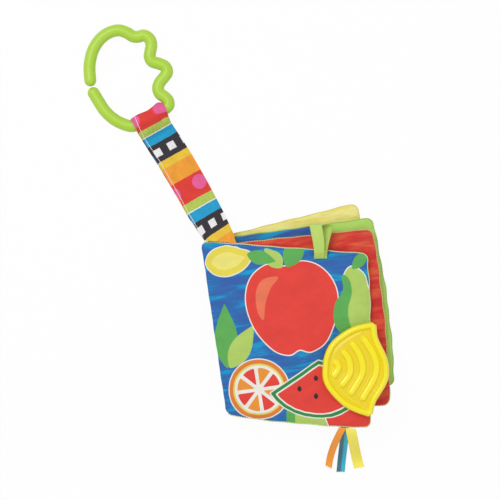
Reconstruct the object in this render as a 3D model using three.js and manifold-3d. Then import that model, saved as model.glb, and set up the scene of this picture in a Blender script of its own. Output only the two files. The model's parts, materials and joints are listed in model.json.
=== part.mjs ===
// A crinkle cloth book for a baby, lying closed on its back cover: four stuffed cloth leaves
// hinged along one spine, a hanging strap with a plastic link, a moulded teether, a ribbon
// loop and three ribbon tails. Millimetres, +Z up. In the book's own frame the spine's top is
// the origin, X runs across the leaves and Y up along the spine; the whole book leans a little.
import * as THREE from "three";
import { mergeVertices } from "three/addons/utils/BufferGeometryUtils.js";
import Module from "manifold-3d";

const wasm = await Module();
wasm.setup();

// Clearances and cloth
const FIT = 0.3; // between pieces that touch
const CLOTH = 0.7; // printed polyester face of a leaf
const FILM = 0.4; // crinkle film inside a leaf
const RIBBON = 0.6; // satin ribbon

// Leaves
const LEAF_WIDTH = 140;
const LEAF_HEIGHT = 141;
const LEAF_THICKNESS = 5.5; // at the stuffed middle
const SEAM_THICKNESS = 1.7; // at the sewn edge
const LEAF_GAP = 0.4; // between neighbouring leaves at the spine
const LEAF_FAN_DEG = 0.5; // each leaf opens this much from the one below
const SWELL_REACH = 12; // a leaf reaches its full thickness this far from its edge
const CORNER_RADIUS = 5;
const SPINE_REACH = 16; // leaves bend towards their stitching over this width
const COVER_DROP = 2.4; // the front cover rolls down this far to its fold
const FLAT_DEPTH = 0.5; // the back cover is pressed flat where it lies
const FOLD_DEPTH = 0.6; // creases that run out from the spine
const BOOK_LEAN_DEG = 8.4;

// Each leaf hangs askew from the spine. Shares of the leaf's width: how far its top and bottom
// edges reach, how far they sag, how its right and bottom edges bow, how low its top starts.
const LEAF_SHAPE_SHARES = {
  back_cover: { top: 0.894, bottom: 0.946, topSag: -0.087, bottomSag: -0.093, right: 0.01, below: 0, low: 0 },
  page_two: { top: 0.968, bottom: 0.957, topSag: 0.01, bottomSag: -0.018, right: 0.024, below: 0, low: 0 },
  page_one: { top: 0.962, bottom: 0.914, topSag: 0.073, bottomSag: 0.079, right: 0.017, below: 0, low: 0.032 },
  front_cover: { top: 0.909, bottom: 0.779, topSag: 0.209, bottomSag: 0.189, right: 0.012, below: 0.012, low: 0 },
};
const LEAF_NAMES = Object.keys(LEAF_SHAPE_SHARES);
// Grid lines across a leaf, close together where it swells.
const GRID_SHARES = [0, 0.018, 0.05, 0.12, 0.26, 0.42, 0.58, 0.74, 0.88, 0.95, 0.982, 1];
// Creases: where each starts along the spine, and how it slants and fades.
const CREASE_SHARES = [
  { start: 0.26, slant: 0.3, width: 0.1, reach: 0.34 },
  { start: 0.58, slant: 0, width: 0.1, reach: 0.26 },
  { start: 0.88, slant: -0.4, width: 0.1, reach: 0.36 },
];

// Strap of doubled webbing, sewn into the top seam of the front cover
const STRAP_LENGTH = 115; // seam to the middle of the link's rod
const STRAP_WIDTH = 33; // along the seam, which it meets at a slant
const STRAP_LOOP_WIDTH = 26.8; // gathered round the rod
const STRAP_PLACE = 14.2; // middle of the strap, along the seam
const STRAP_CLOTH = 1.1;
const STRAP_TACK = 16; // stitched across this far from the rod
const STRAP_DRAPE = 46; // reaches the table this far from the seam
const STRAP_ARCH = 0.9; // it lies arched across its width
const STRAP_TURN_DEG = 34; // its slant to the seam
const SEAM_HINGE_REACH = 2; // a hinge lies this far outside the seam that it bends at
const SEAM_NOSE = 1.5; // cloth reaches this far back from its hinge towards the seam

// Link
const LINK_ROD = 9.8;
const LINK_WIDTH = 61; // centreline, across
const LINK_LENGTH = 76; // centreline, from the strap outwards
const LINK_SHIFT = 0.7; // along its rod, off the strap's middle
const ROD_CLEARANCE = 0.5;
const LINK_SHARES = [
  [-0.468, 0.656],
  [-0.415, 0.748],
  [-0.355, 0.825],
  [-0.228, 0.929],
  [-0.07, 0.991],
  [0.077, 1],
  [0.195, 0.969],
  [0.269, 0.905],
  [0.315, 0.84],
  [0.367, 0.812],
  [0.448, 0.792],
  [0.489, 0.729],
  [0.47, 0.663],
  [0.411, 0.604],
  [0.375, 0.564],
  [0.372, 0.508],
  [0.436, 0.451],
  [0.489, 0.389],
  [0.477, 0.329],
  [0.415, 0.3],
  [0.32, 0.269],
  [0.262, 0.223],
  [0.254, 0.16],
  [0.285, 0.11],
  [0.3, 0.06],
  [0.278, 0.014],
  [0.235, 0],
  [0, 0],
  [-0.235, 0],
  [-0.292, 0.014],
  [-0.365, 0.07],
  [-0.444, 0.165],
  [-0.497, 0.293],
  [-0.508, 0.41],
  [-0.512, 0.52],
];

// Teether
const TEETHER_WIDTH = 54.5;
const TEETHER_LENGTH = 76;
const TEETHER_FLOOR = 2.6;
const TEETHER_RIM_WIDTH = 6;
const TEETHER_HEIGHT = 7;
const TEETHER_ROUND = 1.6; // rounding of the rim's edges
const TEETHER_RIB = 5.8;
const TEETHER_TURN_DEG = -10.5;
const TEETHER_PLACE_SHARES = { across: 0.552, down: 0.837 }; // of the leaf, to its round edge
const TEETHER_ROUND_SIDE_SHARES = [
  [0.71, 0.555],
  [0.48, 0.515],
  [0.32, 0.455],
  [0.17, 0.37],
  [0.075, 0.28],
  [0.02, 0.17],
  [0.004, 0.06],
  [0.01, -0.045],
  [0.05, -0.13],
  [0.12, -0.2],
  [0.22, -0.275],
  [0.35, -0.35],
  [0.52, -0.405],
  [0.71, -0.445],
];
const TEETHER_WAVY_SIDE_SHARES = [
  [0.77, -0.43],
  [0.785, -0.35],
  [0.81, -0.28],
  [0.87, -0.205],
  [0.935, -0.12],
  [0.98, -0.03],
  [0.985, 0.065],
  [0.965, 0.15],
  [0.915, 0.24],
  [0.85, 0.325],
  [0.8, 0.4],
  [0.785, 0.47],
  [0.775, 0.54],
];
const TEETHER_RIB_SHARES = [
  [[0.17, 0.15], [0.24, 0.07], [0.15, -0.055]],
  [[0.275, 0.255], [0.385, 0.157], [0.41, 0.01], [0.27, -0.145]],
  [[0.4, 0.35], [0.555, 0.19], [0.595, 0.03], [0.41, -0.235]],
  [[0.57, 0.4], [0.755, 0.2], [0.795, 0.035], [0.585, -0.285]],
];
const TAB_WIDTH = 14; // twill tab that holds the teether to the cover
const TAB_LENGTH = 20;
const TAB_THICKNESS = 0.8;
const TAB_INSET = 1; // from the teether's round edge

// Ribbon loop, stitched to the front cover's face near its top edge
const LOOP_LENGTH = 27;
const LOOP_OPENING = 15;
const LOOP_BEND = 3.2; // the loop's far end bends round over this length
const LOOP_RIBBON_WIDTH = 9.5;
const LOOP_SEAM_INSET = 6.5; // stitched this far below the cover's edge
const LOOP_RISE = 1.9;
const LOOP_TILT_DEG = 55;
const LOOP_TWIST_SHARE = 0.75; // of the loop's length, over which it turns on edge
const LOOP_FLAT_SHARE = 0.2; // of the loop's length, which stays flat
const LOOP_PLACE_SHARE = 0.657; // along the leaf
const LOOP_TURN_DEG = 81.6;

// Ribbon tails, sewn into the bottom seam of the front cover
const TAIL_PLACE_SHARE = 0.649; // along the leaf
const TAIL_DRAPE = 30; // they reach the table this far from the seam
const TAIL_LAYER_PITCH = 1.4;
const TAILS = {
  ribbon_teal: { width: 6.2, length: 37, layer: 0, turnDeg: 86, bend: -1.5, offset: -1.2 },
  ribbon_orange: { width: 5.6, length: 34, layer: 1, turnDeg: 104, bend: 2.5, offset: -3.6 },
  ribbon_yellow: { width: 7.9, length: 34, layer: 1, turnDeg: 73, bend: 1, offset: 4 },
};

// Steps of curved surfaces, and stations across the strips
const ARC_STEPS = 14;
const DOME_STEPS = 3;
const DRAPE_STEPS = 9;
const RUN_STEPS = 4;
const TAIL_STEPS = 12;
const LOOP_STEPS = 10;
const ROD_SIDES = 10;
const LINK_STEPS = 72;
const RIB_STEPS = 9;
const OUTLINE_STEPS = 26;
const STRAP_ACROSS_SHARES = [0.5, 0.25, 0, -0.25, -0.5];
const LOOP_ACROSS_SHARES = [0.5, 0, -0.5];
const TAIL_ACROSS_SHARES = [-0.5, 0, 0.5];
const PANEL_SHARES = [0, 0.25, 0.5, 0.75, 1];
// The filling of a leaf starts this many grid lines inside its edge
const FILL_INSET = 1;
const PAGE_FILL_INSET = 2; // a page is too thin for stuffing right at its stitching

// Colours
const COVER_BLUE = "#2f6fb5";
const PAGE_BLUE = "#3b5fa9";
const PAGE_GREEN = "#a8d05e";
const PAGE_RED = "#d0392f";
const PAGE_ORANGE = "#e5823c";
const LINING_YELLOW = "#e4da66";
const LEMON_YELLOW = "#ede06b";
const FILM_GREY = "#d9dde0";
const BATTING_WHITE = "#f4f2ec";
const STRAP_RED = "#e23b33";
const LINK_LIME = "#a8d43a";
const TEETHER_YELLOW = "#f6e11a";
const TAB_YELLOW = "#f2d21c";
const LOOP_GREEN = "#b0d05e";
const TAIL_COLORS = {
  ribbon_teal: "#2fa6bd",
  ribbon_orange: "#f5902a",
  ribbon_yellow: "#f3e24e",
};
// Roughness of each kind of surface
const MATTE_CLOTH = 0.85;
const WEBBING = 0.8;
const SATIN = 0.5;
const FLUFF = 0.95;
const GLOSSY = 0.22;

const UP = new THREE.Vector3(0, 0, 1);
const radians = THREE.MathUtils.degToRad;

function finish(color, roughness) {
  return new THREE.MeshStandardMaterial({ color, roughness, metalness: 0 });
}

function mesh(name, geometry, material) {
  const made = new THREE.Mesh(geometry, material);
  made.name = name;
  return made;
}

// A closed sheet between two grids of points. The front is the side that the cross product of
// its column and row directions points to.
function slab(columns, rows, front, back) {
  const positions = [];
  for (const side of [front, back]) {
    for (let j = 0; j <= rows; j++) {
      for (let i = 0; i <= columns; i++) positions.push(...side(i, j).toArray());
    }
  }
  const back0 = (columns + 1) * (rows + 1);
  const at = (i, j) => j * (columns + 1) + i;
  const index = [];
  const quad = (a, b, c, d) => index.push(a, b, c, a, c, d);
  for (let j = 0; j < rows; j++) {
    for (let i = 0; i < columns; i++) {
      const [a, b, c, d] = [at(i, j), at(i + 1, j), at(i + 1, j + 1), at(i, j + 1)];
      quad(a, b, c, d);
      index.push(back0 + a, back0 + c, back0 + b, back0 + a, back0 + d, back0 + c);
    }
  }
  const wall = (a, b) => quad(back0 + a, back0 + b, b, a);
  for (let i = 0; i < columns; i++) {
    wall(at(i, 0), at(i + 1, 0));
    wall(at(i + 1, rows), at(i, rows));
  }
  for (let j = 0; j < rows; j++) {
    wall(at(columns, j), at(columns, j + 1));
    wall(at(0, j + 1), at(0, j));
  }
  const geometry = new THREE.BufferGeometry();
  geometry.setAttribute("position", new THREE.Float32BufferAttribute(positions, 3));
  geometry.setIndex(index);
  geometry.computeVertexNormals();
  return geometry;
}

// A strip of one thickness along a flat path of Vector2 (along, up). place turns (along, up,
// across share) into a point, and the shares run to the left of someone who walks the path.
function strip(path, thickness, acrossShares, place) {
  const normals = path.map((_, i) => {
    const before = path[Math.max(i - 1, 0)];
    const after = path[Math.min(i + 1, path.length - 1)];
    const along = after.clone().sub(before).normalize();
    return new THREE.Vector2(-along.y, along.x);
  });
  const side = (sign) => (i, j) => {
    const p = path[i].clone().addScaledVector(normals[i], (sign * thickness) / 2);
    return place(p.x, p.y, acrossShares[j]);
  };
  return slab(path.length - 1, acrossShares.length - 1, side(1), side(-1));
}

// A round rod along a flat path of Vector3 at one height, with domed ends.
function rod(points, diameter, sides) {
  const radius = diameter / 2;
  const tangent = (i) =>
    points[Math.min(i + 1, points.length - 1)]
      .clone()
      .sub(points[Math.max(i - 1, 0)])
      .normalize();
  const rings = [];
  const dome = [];
  for (let k = 1; k < DOME_STEPS; k++) dome.push((k * Math.PI) / 2 / DOME_STEPS);
  const end = (i, sign) =>
    dome.map((angle) => ({
      centre: points[i].clone().addScaledVector(tangent(i), sign * radius * Math.sin(angle)),
      along: tangent(i),
      radius: radius * Math.cos(angle),
    }));
  rings.push(...end(0, -1).reverse());
  points.forEach((centre, i) => rings.push({ centre, along: tangent(i), radius }));
  rings.push(...end(points.length - 1, 1));
  const positions = [];
  for (const ring of rings) {
    const across = new THREE.Vector3().crossVectors(ring.along, UP);
    for (let s = 0; s < sides; s++) {
      const angle = (2 * Math.PI * s) / sides;
      const p = ring.centre.clone().addScaledVector(across, ring.radius * Math.cos(angle));
      positions.push(...p.addScaledVector(UP, ring.radius * Math.sin(angle)).toArray());
    }
  }
  for (const [i, sign] of [[0, -1], [points.length - 1, 1]]) {
    const pole = points[i].clone().addScaledVector(tangent(i), sign * radius);
    positions.push(...pole.toArray());
  }
  const index = [];
  const last = rings.length - 1;
  const pole0 = rings.length * sides;
  for (let s = 0; s < sides; s++) {
    const next = (s + 1) % sides;
    for (let r = 0; r < last; r++) {
      const [a, b] = [r * sides + s, r * sides + next];
      index.push(a, a + sides, b, b, a + sides, b + sides);
    }
    index.push(pole0, s, next);
    index.push(pole0 + 1, last * sides + next, last * sides + s);
  }
  const geometry = new THREE.BufferGeometry();
  geometry.setAttribute("position", new THREE.Float32BufferAttribute(positions, 3));
  geometry.setIndex(index);
  geometry.computeVertexNormals();
  return geometry;
}

function solid(geometry) {
  const bare = geometry.clone();
  bare.deleteAttribute("normal");
  bare.deleteAttribute("uv");
  const merged = mergeVertices(bare);
  const data = new wasm.Mesh({
    numProp: 3,
    vertProperties: new Float32Array(merged.attributes.position.array),
    triVerts: new Uint32Array(merged.index.array),
  });
  return new wasm.Manifold(data);
}

function geometryOf(made) {
  const data = made.getMesh();
  const geometry = new THREE.BufferGeometry();
  geometry.setAttribute("position", new THREE.BufferAttribute(data.vertProperties, 3));
  geometry.setIndex(new THREE.BufferAttribute(data.triVerts, 1));
  geometry.computeVertexNormals();
  return geometry;
}

function smoothStep(share) {
  const x = THREE.MathUtils.clamp(share, 0, 1);
  return x * x * (3 - 2 * x);
}

// Places along the stack. The two pages are one folded sheet, so they share a hinge.
const LEAF_PITCH = LEAF_THICKNESS + LEAF_GAP;
const PANEL_INNER = SEAM_THICKNESS + 3 * FIT; // spine panel, left of the hinges
const PANEL_OUTER = PANEL_INNER + CLOTH;

function leafHeight(level) {
  return LEAF_THICKNESS / 2 - FLAT_DEPTH + level * LEAF_PITCH;
}

function hingeHeight(name) {
  const level = LEAF_NAMES.indexOf(name);
  if (name.startsWith("page")) return (leafHeight(1) + leafHeight(2)) / 2;
  return leafHeight(level) - (name === "front_cover" ? COVER_DROP : 0);
}

// The outline and swell of one leaf, in the frame of its own hinge.
class Leaf {
  constructor(name) {
    this.name = name;
    this.level = LEAF_NAMES.indexOf(name);
    this.shape = LEAF_SHAPE_SHARES[name];
    // The front cover's edge reaches over the spine panel, the others stop at their hinge.
    this.spineEdge = name === "front_cover" ? -PANEL_OUTER : FIT;
    this.bodyOffset = leafHeight(this.level) - hingeHeight(name);
    const isPage = name.startsWith("page");
    this.seamOffset = isPage ? (Math.sign(this.bodyOffset) * (SEAM_THICKNESS + FIT)) / 2 : 0;
  }

  // Height of the leaf's middle plane over its hinge.
  middle(x) {
    const share = smoothStep(x / SPINE_REACH);
    return this.seamOffset + (this.bodyOffset - this.seamOffset) * share;
  }

  // A point in the leaf's plane: a from the spine to the free edge, b from bottom to top.
  plan(a, b) {
    const { top, bottom, topSag, bottomSag, right, below, low } = this.shape;
    const [dx, dy] = [
      Math.min(a, 1 - a) * LEAF_WIDTH,
      Math.min(b, 1 - b) * LEAF_HEIGHT,
    ];
    let [u, v] = [a, b];
    if (dx < CORNER_RADIUS && dy < CORNER_RADIUS) {
      const [px, py] = [CORNER_RADIUS - dx, CORNER_RADIUS - dy];
      const pull = Math.max(px, py) / Math.hypot(px, py);
      const insetX = (CORNER_RADIUS - px * pull) / LEAF_WIDTH;
      const insetY = (CORNER_RADIUS - py * pull) / LEAF_HEIGHT;
      u = a < 0.5 ? insetX : 1 - insetX;
      v = b < 0.5 ? insetY : 1 - insetY;
    }
    const reach = LEAF_WIDTH * (bottom + (top - bottom) * v + right * 4 * v * (1 - v));
    const sag = LEAF_WIDTH * (bottomSag + (topSag - bottomSag) * v);
    const belly = LEAF_WIDTH * below * 4 * u * (1 - u) * (1 - v);
    const slip = LEAF_WIDTH * low * v * (1 - u);
    const x = this.spineEdge + (reach - this.spineEdge) * u;
    return new THREE.Vector2(x, LEAF_HEIGHT * (v - 1) - sag * u - belly - slip);
  }

  crease(a, b) {
    return CREASE_SHARES.reduce((sum, { start, slant, width, reach }) => {
      const off = (b - start - slant * a) / width;
      return sum + FOLD_DEPTH * Math.exp(-off * off) * Math.exp(-((a / reach) ** 2));
    }, 0);
  }

  // Half of the leaf's thickness at a point.
  swell(a, b) {
    const rise = (distance) => {
      const left = 1 - THREE.MathUtils.clamp(distance / SWELL_REACH, 0, 1);
      return Math.sqrt(1 - left * left);
    };
    const across = rise(Math.min(a, 1 - a) * LEAF_WIDTH);
    const along = rise(Math.min(b, 1 - b) * LEAF_HEIGHT);
    const seam = SEAM_THICKNESS / 2;
    const full = LEAF_THICKNESS / 2 - this.crease(a, b);
    const half = seam + (full - seam) * across * along;
    if (this.seamOffset === 0) return half;
    return Math.min(half, Math.abs(this.middle(this.plan(a, b).x)) - FIT / 2);
  }

  // How far the cloth's outside and inside lie from the leaf's middle plane.
  outside(a, b, isBack) {
    const half = this.swell(a, b);
    const isFloor = isBack && this.level === 0;
    return isFloor ? Math.min(half, LEAF_THICKNESS / 2 - FLAT_DEPTH) : half;
  }

  inside(a, b, isBack) {
    const isRim = a === 0 || a === 1 || b === 0 || b === 1;
    return isRim ? FIT / 2 : this.outside(a, b, isBack) - CLOTH;
  }

  // A layer between two heights, on the grid lines that lie inside the given number of cells.
  layer(upper, lower, inset, spineInset) {
    const across = GRID_SHARES.slice(spineInset, GRID_SHARES.length - inset);
    const along = GRID_SHARES.slice(inset, GRID_SHARES.length - inset);
    const surface = (height) => (i, j) => {
      const [a, b] = [across[i], along[j]];
      const { x, y } = this.plan(a, b);
      return new THREE.Vector3(x, y, this.middle(x) + height(a, b));
    };
    return slab(across.length - 1, along.length - 1, surface(upper), surface(lower));
  }

  pieces(finishes) {
    const filmTop = (a, b) => this.inside(a, b, false) - FIT;
    const face = this.layer(
      (a, b) => this.outside(a, b, false),
      (a, b) => this.inside(a, b, false),
      0,
      0,
    );
    const back = this.layer(
      (a, b) => -this.inside(a, b, true),
      (a, b) => -this.outside(a, b, true),
      0,
      0,
    );
    const spineInset = this.seamOffset === 0 ? FILL_INSET : PAGE_FILL_INSET;
    const film = this.layer(
      filmTop,
      (a, b) => filmTop(a, b) - FILM,
      FILL_INSET,
      spineInset,
    );
    const batting = this.layer(
      (a, b) => filmTop(a, b) - FILM - FIT,
      (a, b) => FIT - this.inside(a, b, true),
      FILL_INSET,
      spineInset,
    );
    return [
      mesh(this.name + "_front_cloth", face, finishes.front),
      mesh(this.name + "_back_cloth", back, finishes.back),
      mesh(this.name + "_crinkle_film", film, finish(FILM_GREY, GLOSSY)),
      mesh(this.name + "_batting", batting, finish(BATTING_WHITE, FLUFF)),
    ];
  }
}

const cloth = (front, back) => ({
  front: finish(front, MATTE_CLOTH),
  back: finish(back, MATTE_CLOTH),
});
const FINISHES = {
  back_cover: cloth(LEMON_YELLOW, COVER_BLUE),
  page_two: cloth(PAGE_BLUE, PAGE_GREEN),
  page_one: cloth(PAGE_RED, PAGE_ORANGE),
  front_cover: cloth(COVER_BLUE, LINING_YELLOW),
};

// Strip of cloth that closes the spine, sewn to the back cover's edge.
function spinePanel() {
  const bottom = leafHeight(0);
  const top = hingeHeight("front_cover") - Math.hypot(PANEL_OUTER, SEAM_THICKNESS / 2) - FIT;
  const middle = -(PANEL_INNER + PANEL_OUTER) / 2;
  const bend = PANEL_OUTER / 2;
  const path = [];
  path.push(new THREE.Vector2(0, bottom));
  for (let i = 0; i <= ARC_STEPS / 2; i++) {
    const angle = (Math.PI * i) / ARC_STEPS;
    const x = middle + bend * (1 - Math.sin(angle));
    path.push(new THREE.Vector2(x, bottom + bend * (1 - Math.cos(angle))));
  }
  path.push(new THREE.Vector2(middle, (bottom + top) / 2));
  path.push(new THREE.Vector2(middle, top));
  const inset = CORNER_RADIUS / 2;
  const place = (x, z, share) =>
    new THREE.Vector3(x, -LEAF_HEIGHT + inset + share * (LEAF_HEIGHT - 2 * inset), z);
  const geometry = strip(path, CLOTH, PANEL_SHARES, place);
  return mesh("spine_panel", geometry, finish(COVER_BLUE, MATTE_CLOTH));
}

const STRAP_TOTAL = 2 * STRAP_CLOTH + FIT;
const ROD_HEIGHT = LINK_ROD / 2 + ROD_CLEARANCE + STRAP_CLOTH;

// One strip of webbing, sewn in at both ends and looped round the rod. Its frame lies at its
// hinge, X along the seam; drop is the hinge's height above the table.
function strapMesh(drop) {
  const layer = (STRAP_CLOTH + FIT) / 2;
  const tack = STRAP_LENGTH - STRAP_TACK;
  const centre = (s) => -(drop - STRAP_TOTAL / 2) * smoothStep(s / STRAP_DRAPE);
  const stations = [-SEAM_NOSE, 0];
  for (let i = 1; i <= DRAPE_STEPS; i++) stations.push((STRAP_DRAPE * i) / DRAPE_STEPS);
  for (let i = 1; i <= RUN_STEPS; i++) {
    stations.push(STRAP_DRAPE + ((tack - STRAP_DRAPE) * i) / RUN_STEPS);
  }
  const path = stations.map((s) => new THREE.Vector2(s, centre(s) + layer));
  const middle = new THREE.Vector2(STRAP_LENGTH, ROD_HEIGHT - drop);
  const radius = LINK_ROD / 2 + ROD_CLEARANCE + STRAP_CLOTH / 2;
  const toTack = path[path.length - 1].clone().sub(middle);
  const start = toTack.angle() - Math.acos(radius / toTack.length());
  const sweep = start + Math.PI / 2;
  for (let i = 0; i <= ARC_STEPS; i++) {
    const angle = start - (sweep * i) / ARC_STEPS;
    const reach = new THREE.Vector2(Math.cos(angle), Math.sin(angle)).multiplyScalar(radius);
    path.push(middle.clone().add(reach));
  }
  for (const s of stations.reverse()) path.push(new THREE.Vector2(s, centre(s) - layer));

  const turn = radians(STRAP_TURN_DEG);
  const ahead = new THREE.Vector2(-Math.sin(turn), Math.cos(turn));
  const loopAcross = new THREE.Vector2(Math.cos(turn), Math.sin(turn));
  const seamAcross = new THREE.Vector2(1, 0);
  const place = (s, z, share) => {
    const k = THREE.MathUtils.clamp(s / tack, 0, 1);
    const width = STRAP_WIDTH + (STRAP_LOOP_WIDTH - STRAP_WIDTH) * k;
    const across = seamAcross.clone().lerp(loopAcross, k).multiplyScalar(width * share);
    const p = ahead.clone().multiplyScalar(s).add(across);
    const settle = smoothStep((s - STRAP_DRAPE) / (tack - STRAP_DRAPE));
    const lift = STRAP_ARCH * smoothStep(s / STRAP_DRAPE) * (1 - settle);
    return new THREE.Vector3(p.x, p.y, z + lift * (1 - 4 * share * share));
  };
  const geometry = strip(path, STRAP_CLOTH, STRAP_ACROSS_SHARES, place);
  return mesh("strap", geometry, finish(STRAP_RED, WEBBING));
}

// An open ring with three scalloped bumps. Its frame lies on the strap's rod stretch, X along
// the rod and Y away from the strap.
function linkMesh() {
  const points = LINK_SHARES.map(
    ([x, y]) => new THREE.Vector3(x * LINK_WIDTH, y * LINK_LENGTH, 0),
  );
  const curve = new THREE.CatmullRomCurve3(points, false, "centripetal");
  const path = curve.getSpacedPoints(LINK_STEPS);
  return mesh("link_ring", rod(path, LINK_ROD, ROD_SIDES), finish(LINK_LIME, GLOSSY));
}

function teetherOutline(inset) {
  const scaled = (shares) =>
    shares.map(([x, y]) => new THREE.Vector2(x * TEETHER_WIDTH, y * TEETHER_LENGTH));
  const round = new THREE.SplineCurve(scaled(TEETHER_ROUND_SIDE_SHARES));
  const wavy = new THREE.SplineCurve(scaled(TEETHER_WAVY_SIDE_SHARES));
  const points = [...round.getPoints(OUTLINE_STEPS), ...wavy.getPoints(OUTLINE_STEPS)];
  return points.map((p, i) => {
    const before = points[(i + points.length - 1) % points.length];
    const after = points[(i + 1) % points.length];
    const along = after.clone().sub(before).normalize();
    return new THREE.Vector2(p.x - along.y * inset, p.y + along.x * inset);
  });
}

// A moulded leaf-shaped teether: a floor, a raised rim and four curved ribs, in one piece.
// Its frame lies on its underside, at the middle of its round edge.
function teetherMesh() {
  const bevel = { bevelThickness: TEETHER_ROUND, bevelSize: TEETHER_ROUND, bevelSegments: 2 };
  const rimShape = new THREE.Shape(teetherOutline(TEETHER_ROUND));
  rimShape.holes.push(new THREE.Path(teetherOutline(TEETHER_RIM_WIDTH - TEETHER_ROUND)));
  const rim = new THREE.ExtrudeGeometry(rimShape, {
    depth: TEETHER_HEIGHT - 2 * TEETHER_ROUND,
    ...bevel,
  });
  rim.translate(0, 0, TEETHER_ROUND);
  const floor = new THREE.ExtrudeGeometry(new THREE.Shape(teetherOutline(TEETHER_RIM_WIDTH / 2)), {
    depth: TEETHER_FLOOR,
    bevelEnabled: false,
  });
  let made = solid(rim).add(solid(floor));
  for (const shares of TEETHER_RIB_SHARES) {
    const points = shares.map(
      ([x, y]) => new THREE.Vector3(x * TEETHER_WIDTH, y * TEETHER_LENGTH, TEETHER_FLOOR),
    );
    const path = new THREE.CatmullRomCurve3(points).getSpacedPoints(RIB_STEPS);
    made = made.add(solid(rod(path, TEETHER_RIB, ROD_SIDES)));
  }
  return mesh("teether", geometryOf(made), finish(TEETHER_YELLOW, GLOSSY));
}

// Twill tab under the teether's round edge.
function tabMesh() {
  const geometry = new THREE.BoxGeometry(TAB_LENGTH, TAB_WIDTH, TAB_THICKNESS);
  geometry.translate(TAB_LENGTH / 2 + TAB_INSET, 0, TAB_THICKNESS / 2);
  return mesh("teether_tab", geometry, finish(TAB_YELLOW, WEBBING));
}

// A loop of ribbon, flat where it is stitched down and turned on edge further out. Its frame
// lies at the stitches, Y along the loop.
function ribbonLoopMesh() {
  const pinch = (RIBBON + FIT) / 2;
  const half = LOOP_OPENING / 2;
  const straight = LOOP_LENGTH - LOOP_BEND;
  const strand = (sign, share) =>
    new THREE.Vector2(sign * (pinch + (half - pinch) * share), straight * share);
  const path = [];
  for (let i = 0; i < LOOP_STEPS; i++) path.push(strand(1, i / LOOP_STEPS));
  for (let i = 0; i <= ARC_STEPS; i++) {
    const angle = (Math.PI * i) / ARC_STEPS;
    path.push(new THREE.Vector2(half * Math.cos(angle), straight + LOOP_BEND * Math.sin(angle)));
  }
  for (let i = LOOP_STEPS - 1; i >= 0; i--) path.push(strand(-1, i / LOOP_STEPS));
  const place = (x, y, share) => {
    const open = smoothStep(y / LOOP_LENGTH / LOOP_TWIST_SHARE - LOOP_FLAT_SHARE);
    const tilt = radians(90 + (LOOP_TILT_DEG - 90) * open);
    const wide = LOOP_RIBBON_WIDTH * share;
    const rise = LOOP_RISE * smoothStep(y / LOOP_LENGTH / LOOP_FLAT_SHARE);
    return new THREE.Vector3(
      x * Math.cos(tilt) + wide * Math.sin(tilt),
      y,
      -x * Math.sin(tilt) + wide * Math.cos(tilt) + rise,
    );
  };
  const geometry = strip(path, RIBBON, LOOP_ACROSS_SHARES, place);
  return mesh("ribbon_loop", geometry, finish(LOOP_GREEN, SATIN));
}

// A ribbon tail that leaves the seam, drops to the table and lies there. Its frame lies at its
// hinge; drop is the hinge's height above the table.
function tailMesh(name, drop) {
  const { width, length, layer, turnDeg, bend, offset } = TAILS[name];
  const lift = layer * TAIL_LAYER_PITCH;
  const low = RIBBON / 2 + FIT / 2 - drop;
  const turn = -radians(turnDeg);
  const ahead = new THREE.Vector2(Math.cos(turn), Math.sin(turn));
  const path = [new THREE.Vector2(-SEAM_NOSE / (layer + 1), lift)];
  for (let i = 0; i <= TAIL_STEPS; i++) {
    const s = (length * i) / TAIL_STEPS;
    path.push(new THREE.Vector2(s, lift + low * smoothStep((-ahead.y * s) / TAIL_DRAPE)));
  }
  const square = new THREE.Vector2(-ahead.y, ahead.x);
  const alongSeam = new THREE.Vector2(1, 0);
  const place = (s, z, share) => {
    const far = THREE.MathUtils.clamp(s / length, 0, 1);
    const across = alongSeam.clone().lerp(square, far).multiplyScalar(width * share);
    const p = ahead.clone().multiplyScalar(s).add(across);
    p.addScaledVector(square, bend * far * far);
    return new THREE.Vector3(p.x + offset, p.y, z);
  };
  const geometry = strip(path, RIBBON, TAIL_ACROSS_SHARES, place);
  return mesh(name, geometry, finish(TAIL_COLORS[name], SATIN));
}

// The book, put together
const root = new THREE.Group();
const book = new THREE.Group();
book.rotation.z = radians(BOOK_LEAN_DEG);
root.add(book);

const leaves = {};
for (const name of LEAF_NAMES) {
  const leaf = new Leaf(name);
  const group = new THREE.Group();
  group.name = name + "_hinge";
  group.position.z = hingeHeight(name);
  group.rotation.y = -radians(LEAF_FAN_DEG * leaf.level);
  group.add(...leaf.pieces(FINISHES[name]));
  book.add(group);
  leaves[name] = { leaf, group };
}
book.add(spinePanel());

const cover = leaves.front_cover;
const coverShape = cover.leaf.shape;
const topSlope = -Math.atan2(coverShape.topSag, coverShape.top);
const bottomSlope = -Math.atan2(coverShape.bottomSag, coverShape.bottom);
const seamHeight = cover.leaf.bodyOffset;
const faceHeight = seamHeight + LEAF_THICKNESS / 2 + FIT;

// A frame at the hinge of a piece that is sewn into one of the cover's seams, level with the
// table, at a distance along the seam.
function seamFrame(name, along, isTop) {
  const slope = isTop ? topSlope : bottomSlope;
  const sign = isTop ? 1 : -1;
  const b = isTop ? 1 : 0;
  const reach = LEAF_WIDTH * (isTop ? coverShape.top : coverShape.bottom);
  const at = cover.leaf.plan(along / reach, b);
  const point = new THREE.Vector3(
    at.x - sign * SEAM_HINGE_REACH * Math.sin(slope),
    at.y + sign * SEAM_HINGE_REACH * Math.cos(slope),
    cover.leaf.middle(at.x),
  );
  cover.group.updateMatrix();
  point.applyMatrix4(cover.group.matrix);
  const frame = new THREE.Group();
  frame.name = name;
  frame.position.copy(point);
  frame.rotation.z = slope;
  book.add(frame);
  return frame;
}

const strapFrame = seamFrame("strap_hinge", STRAP_PLACE, true);
strapFrame.add(strapMesh(strapFrame.position.z));

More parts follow.
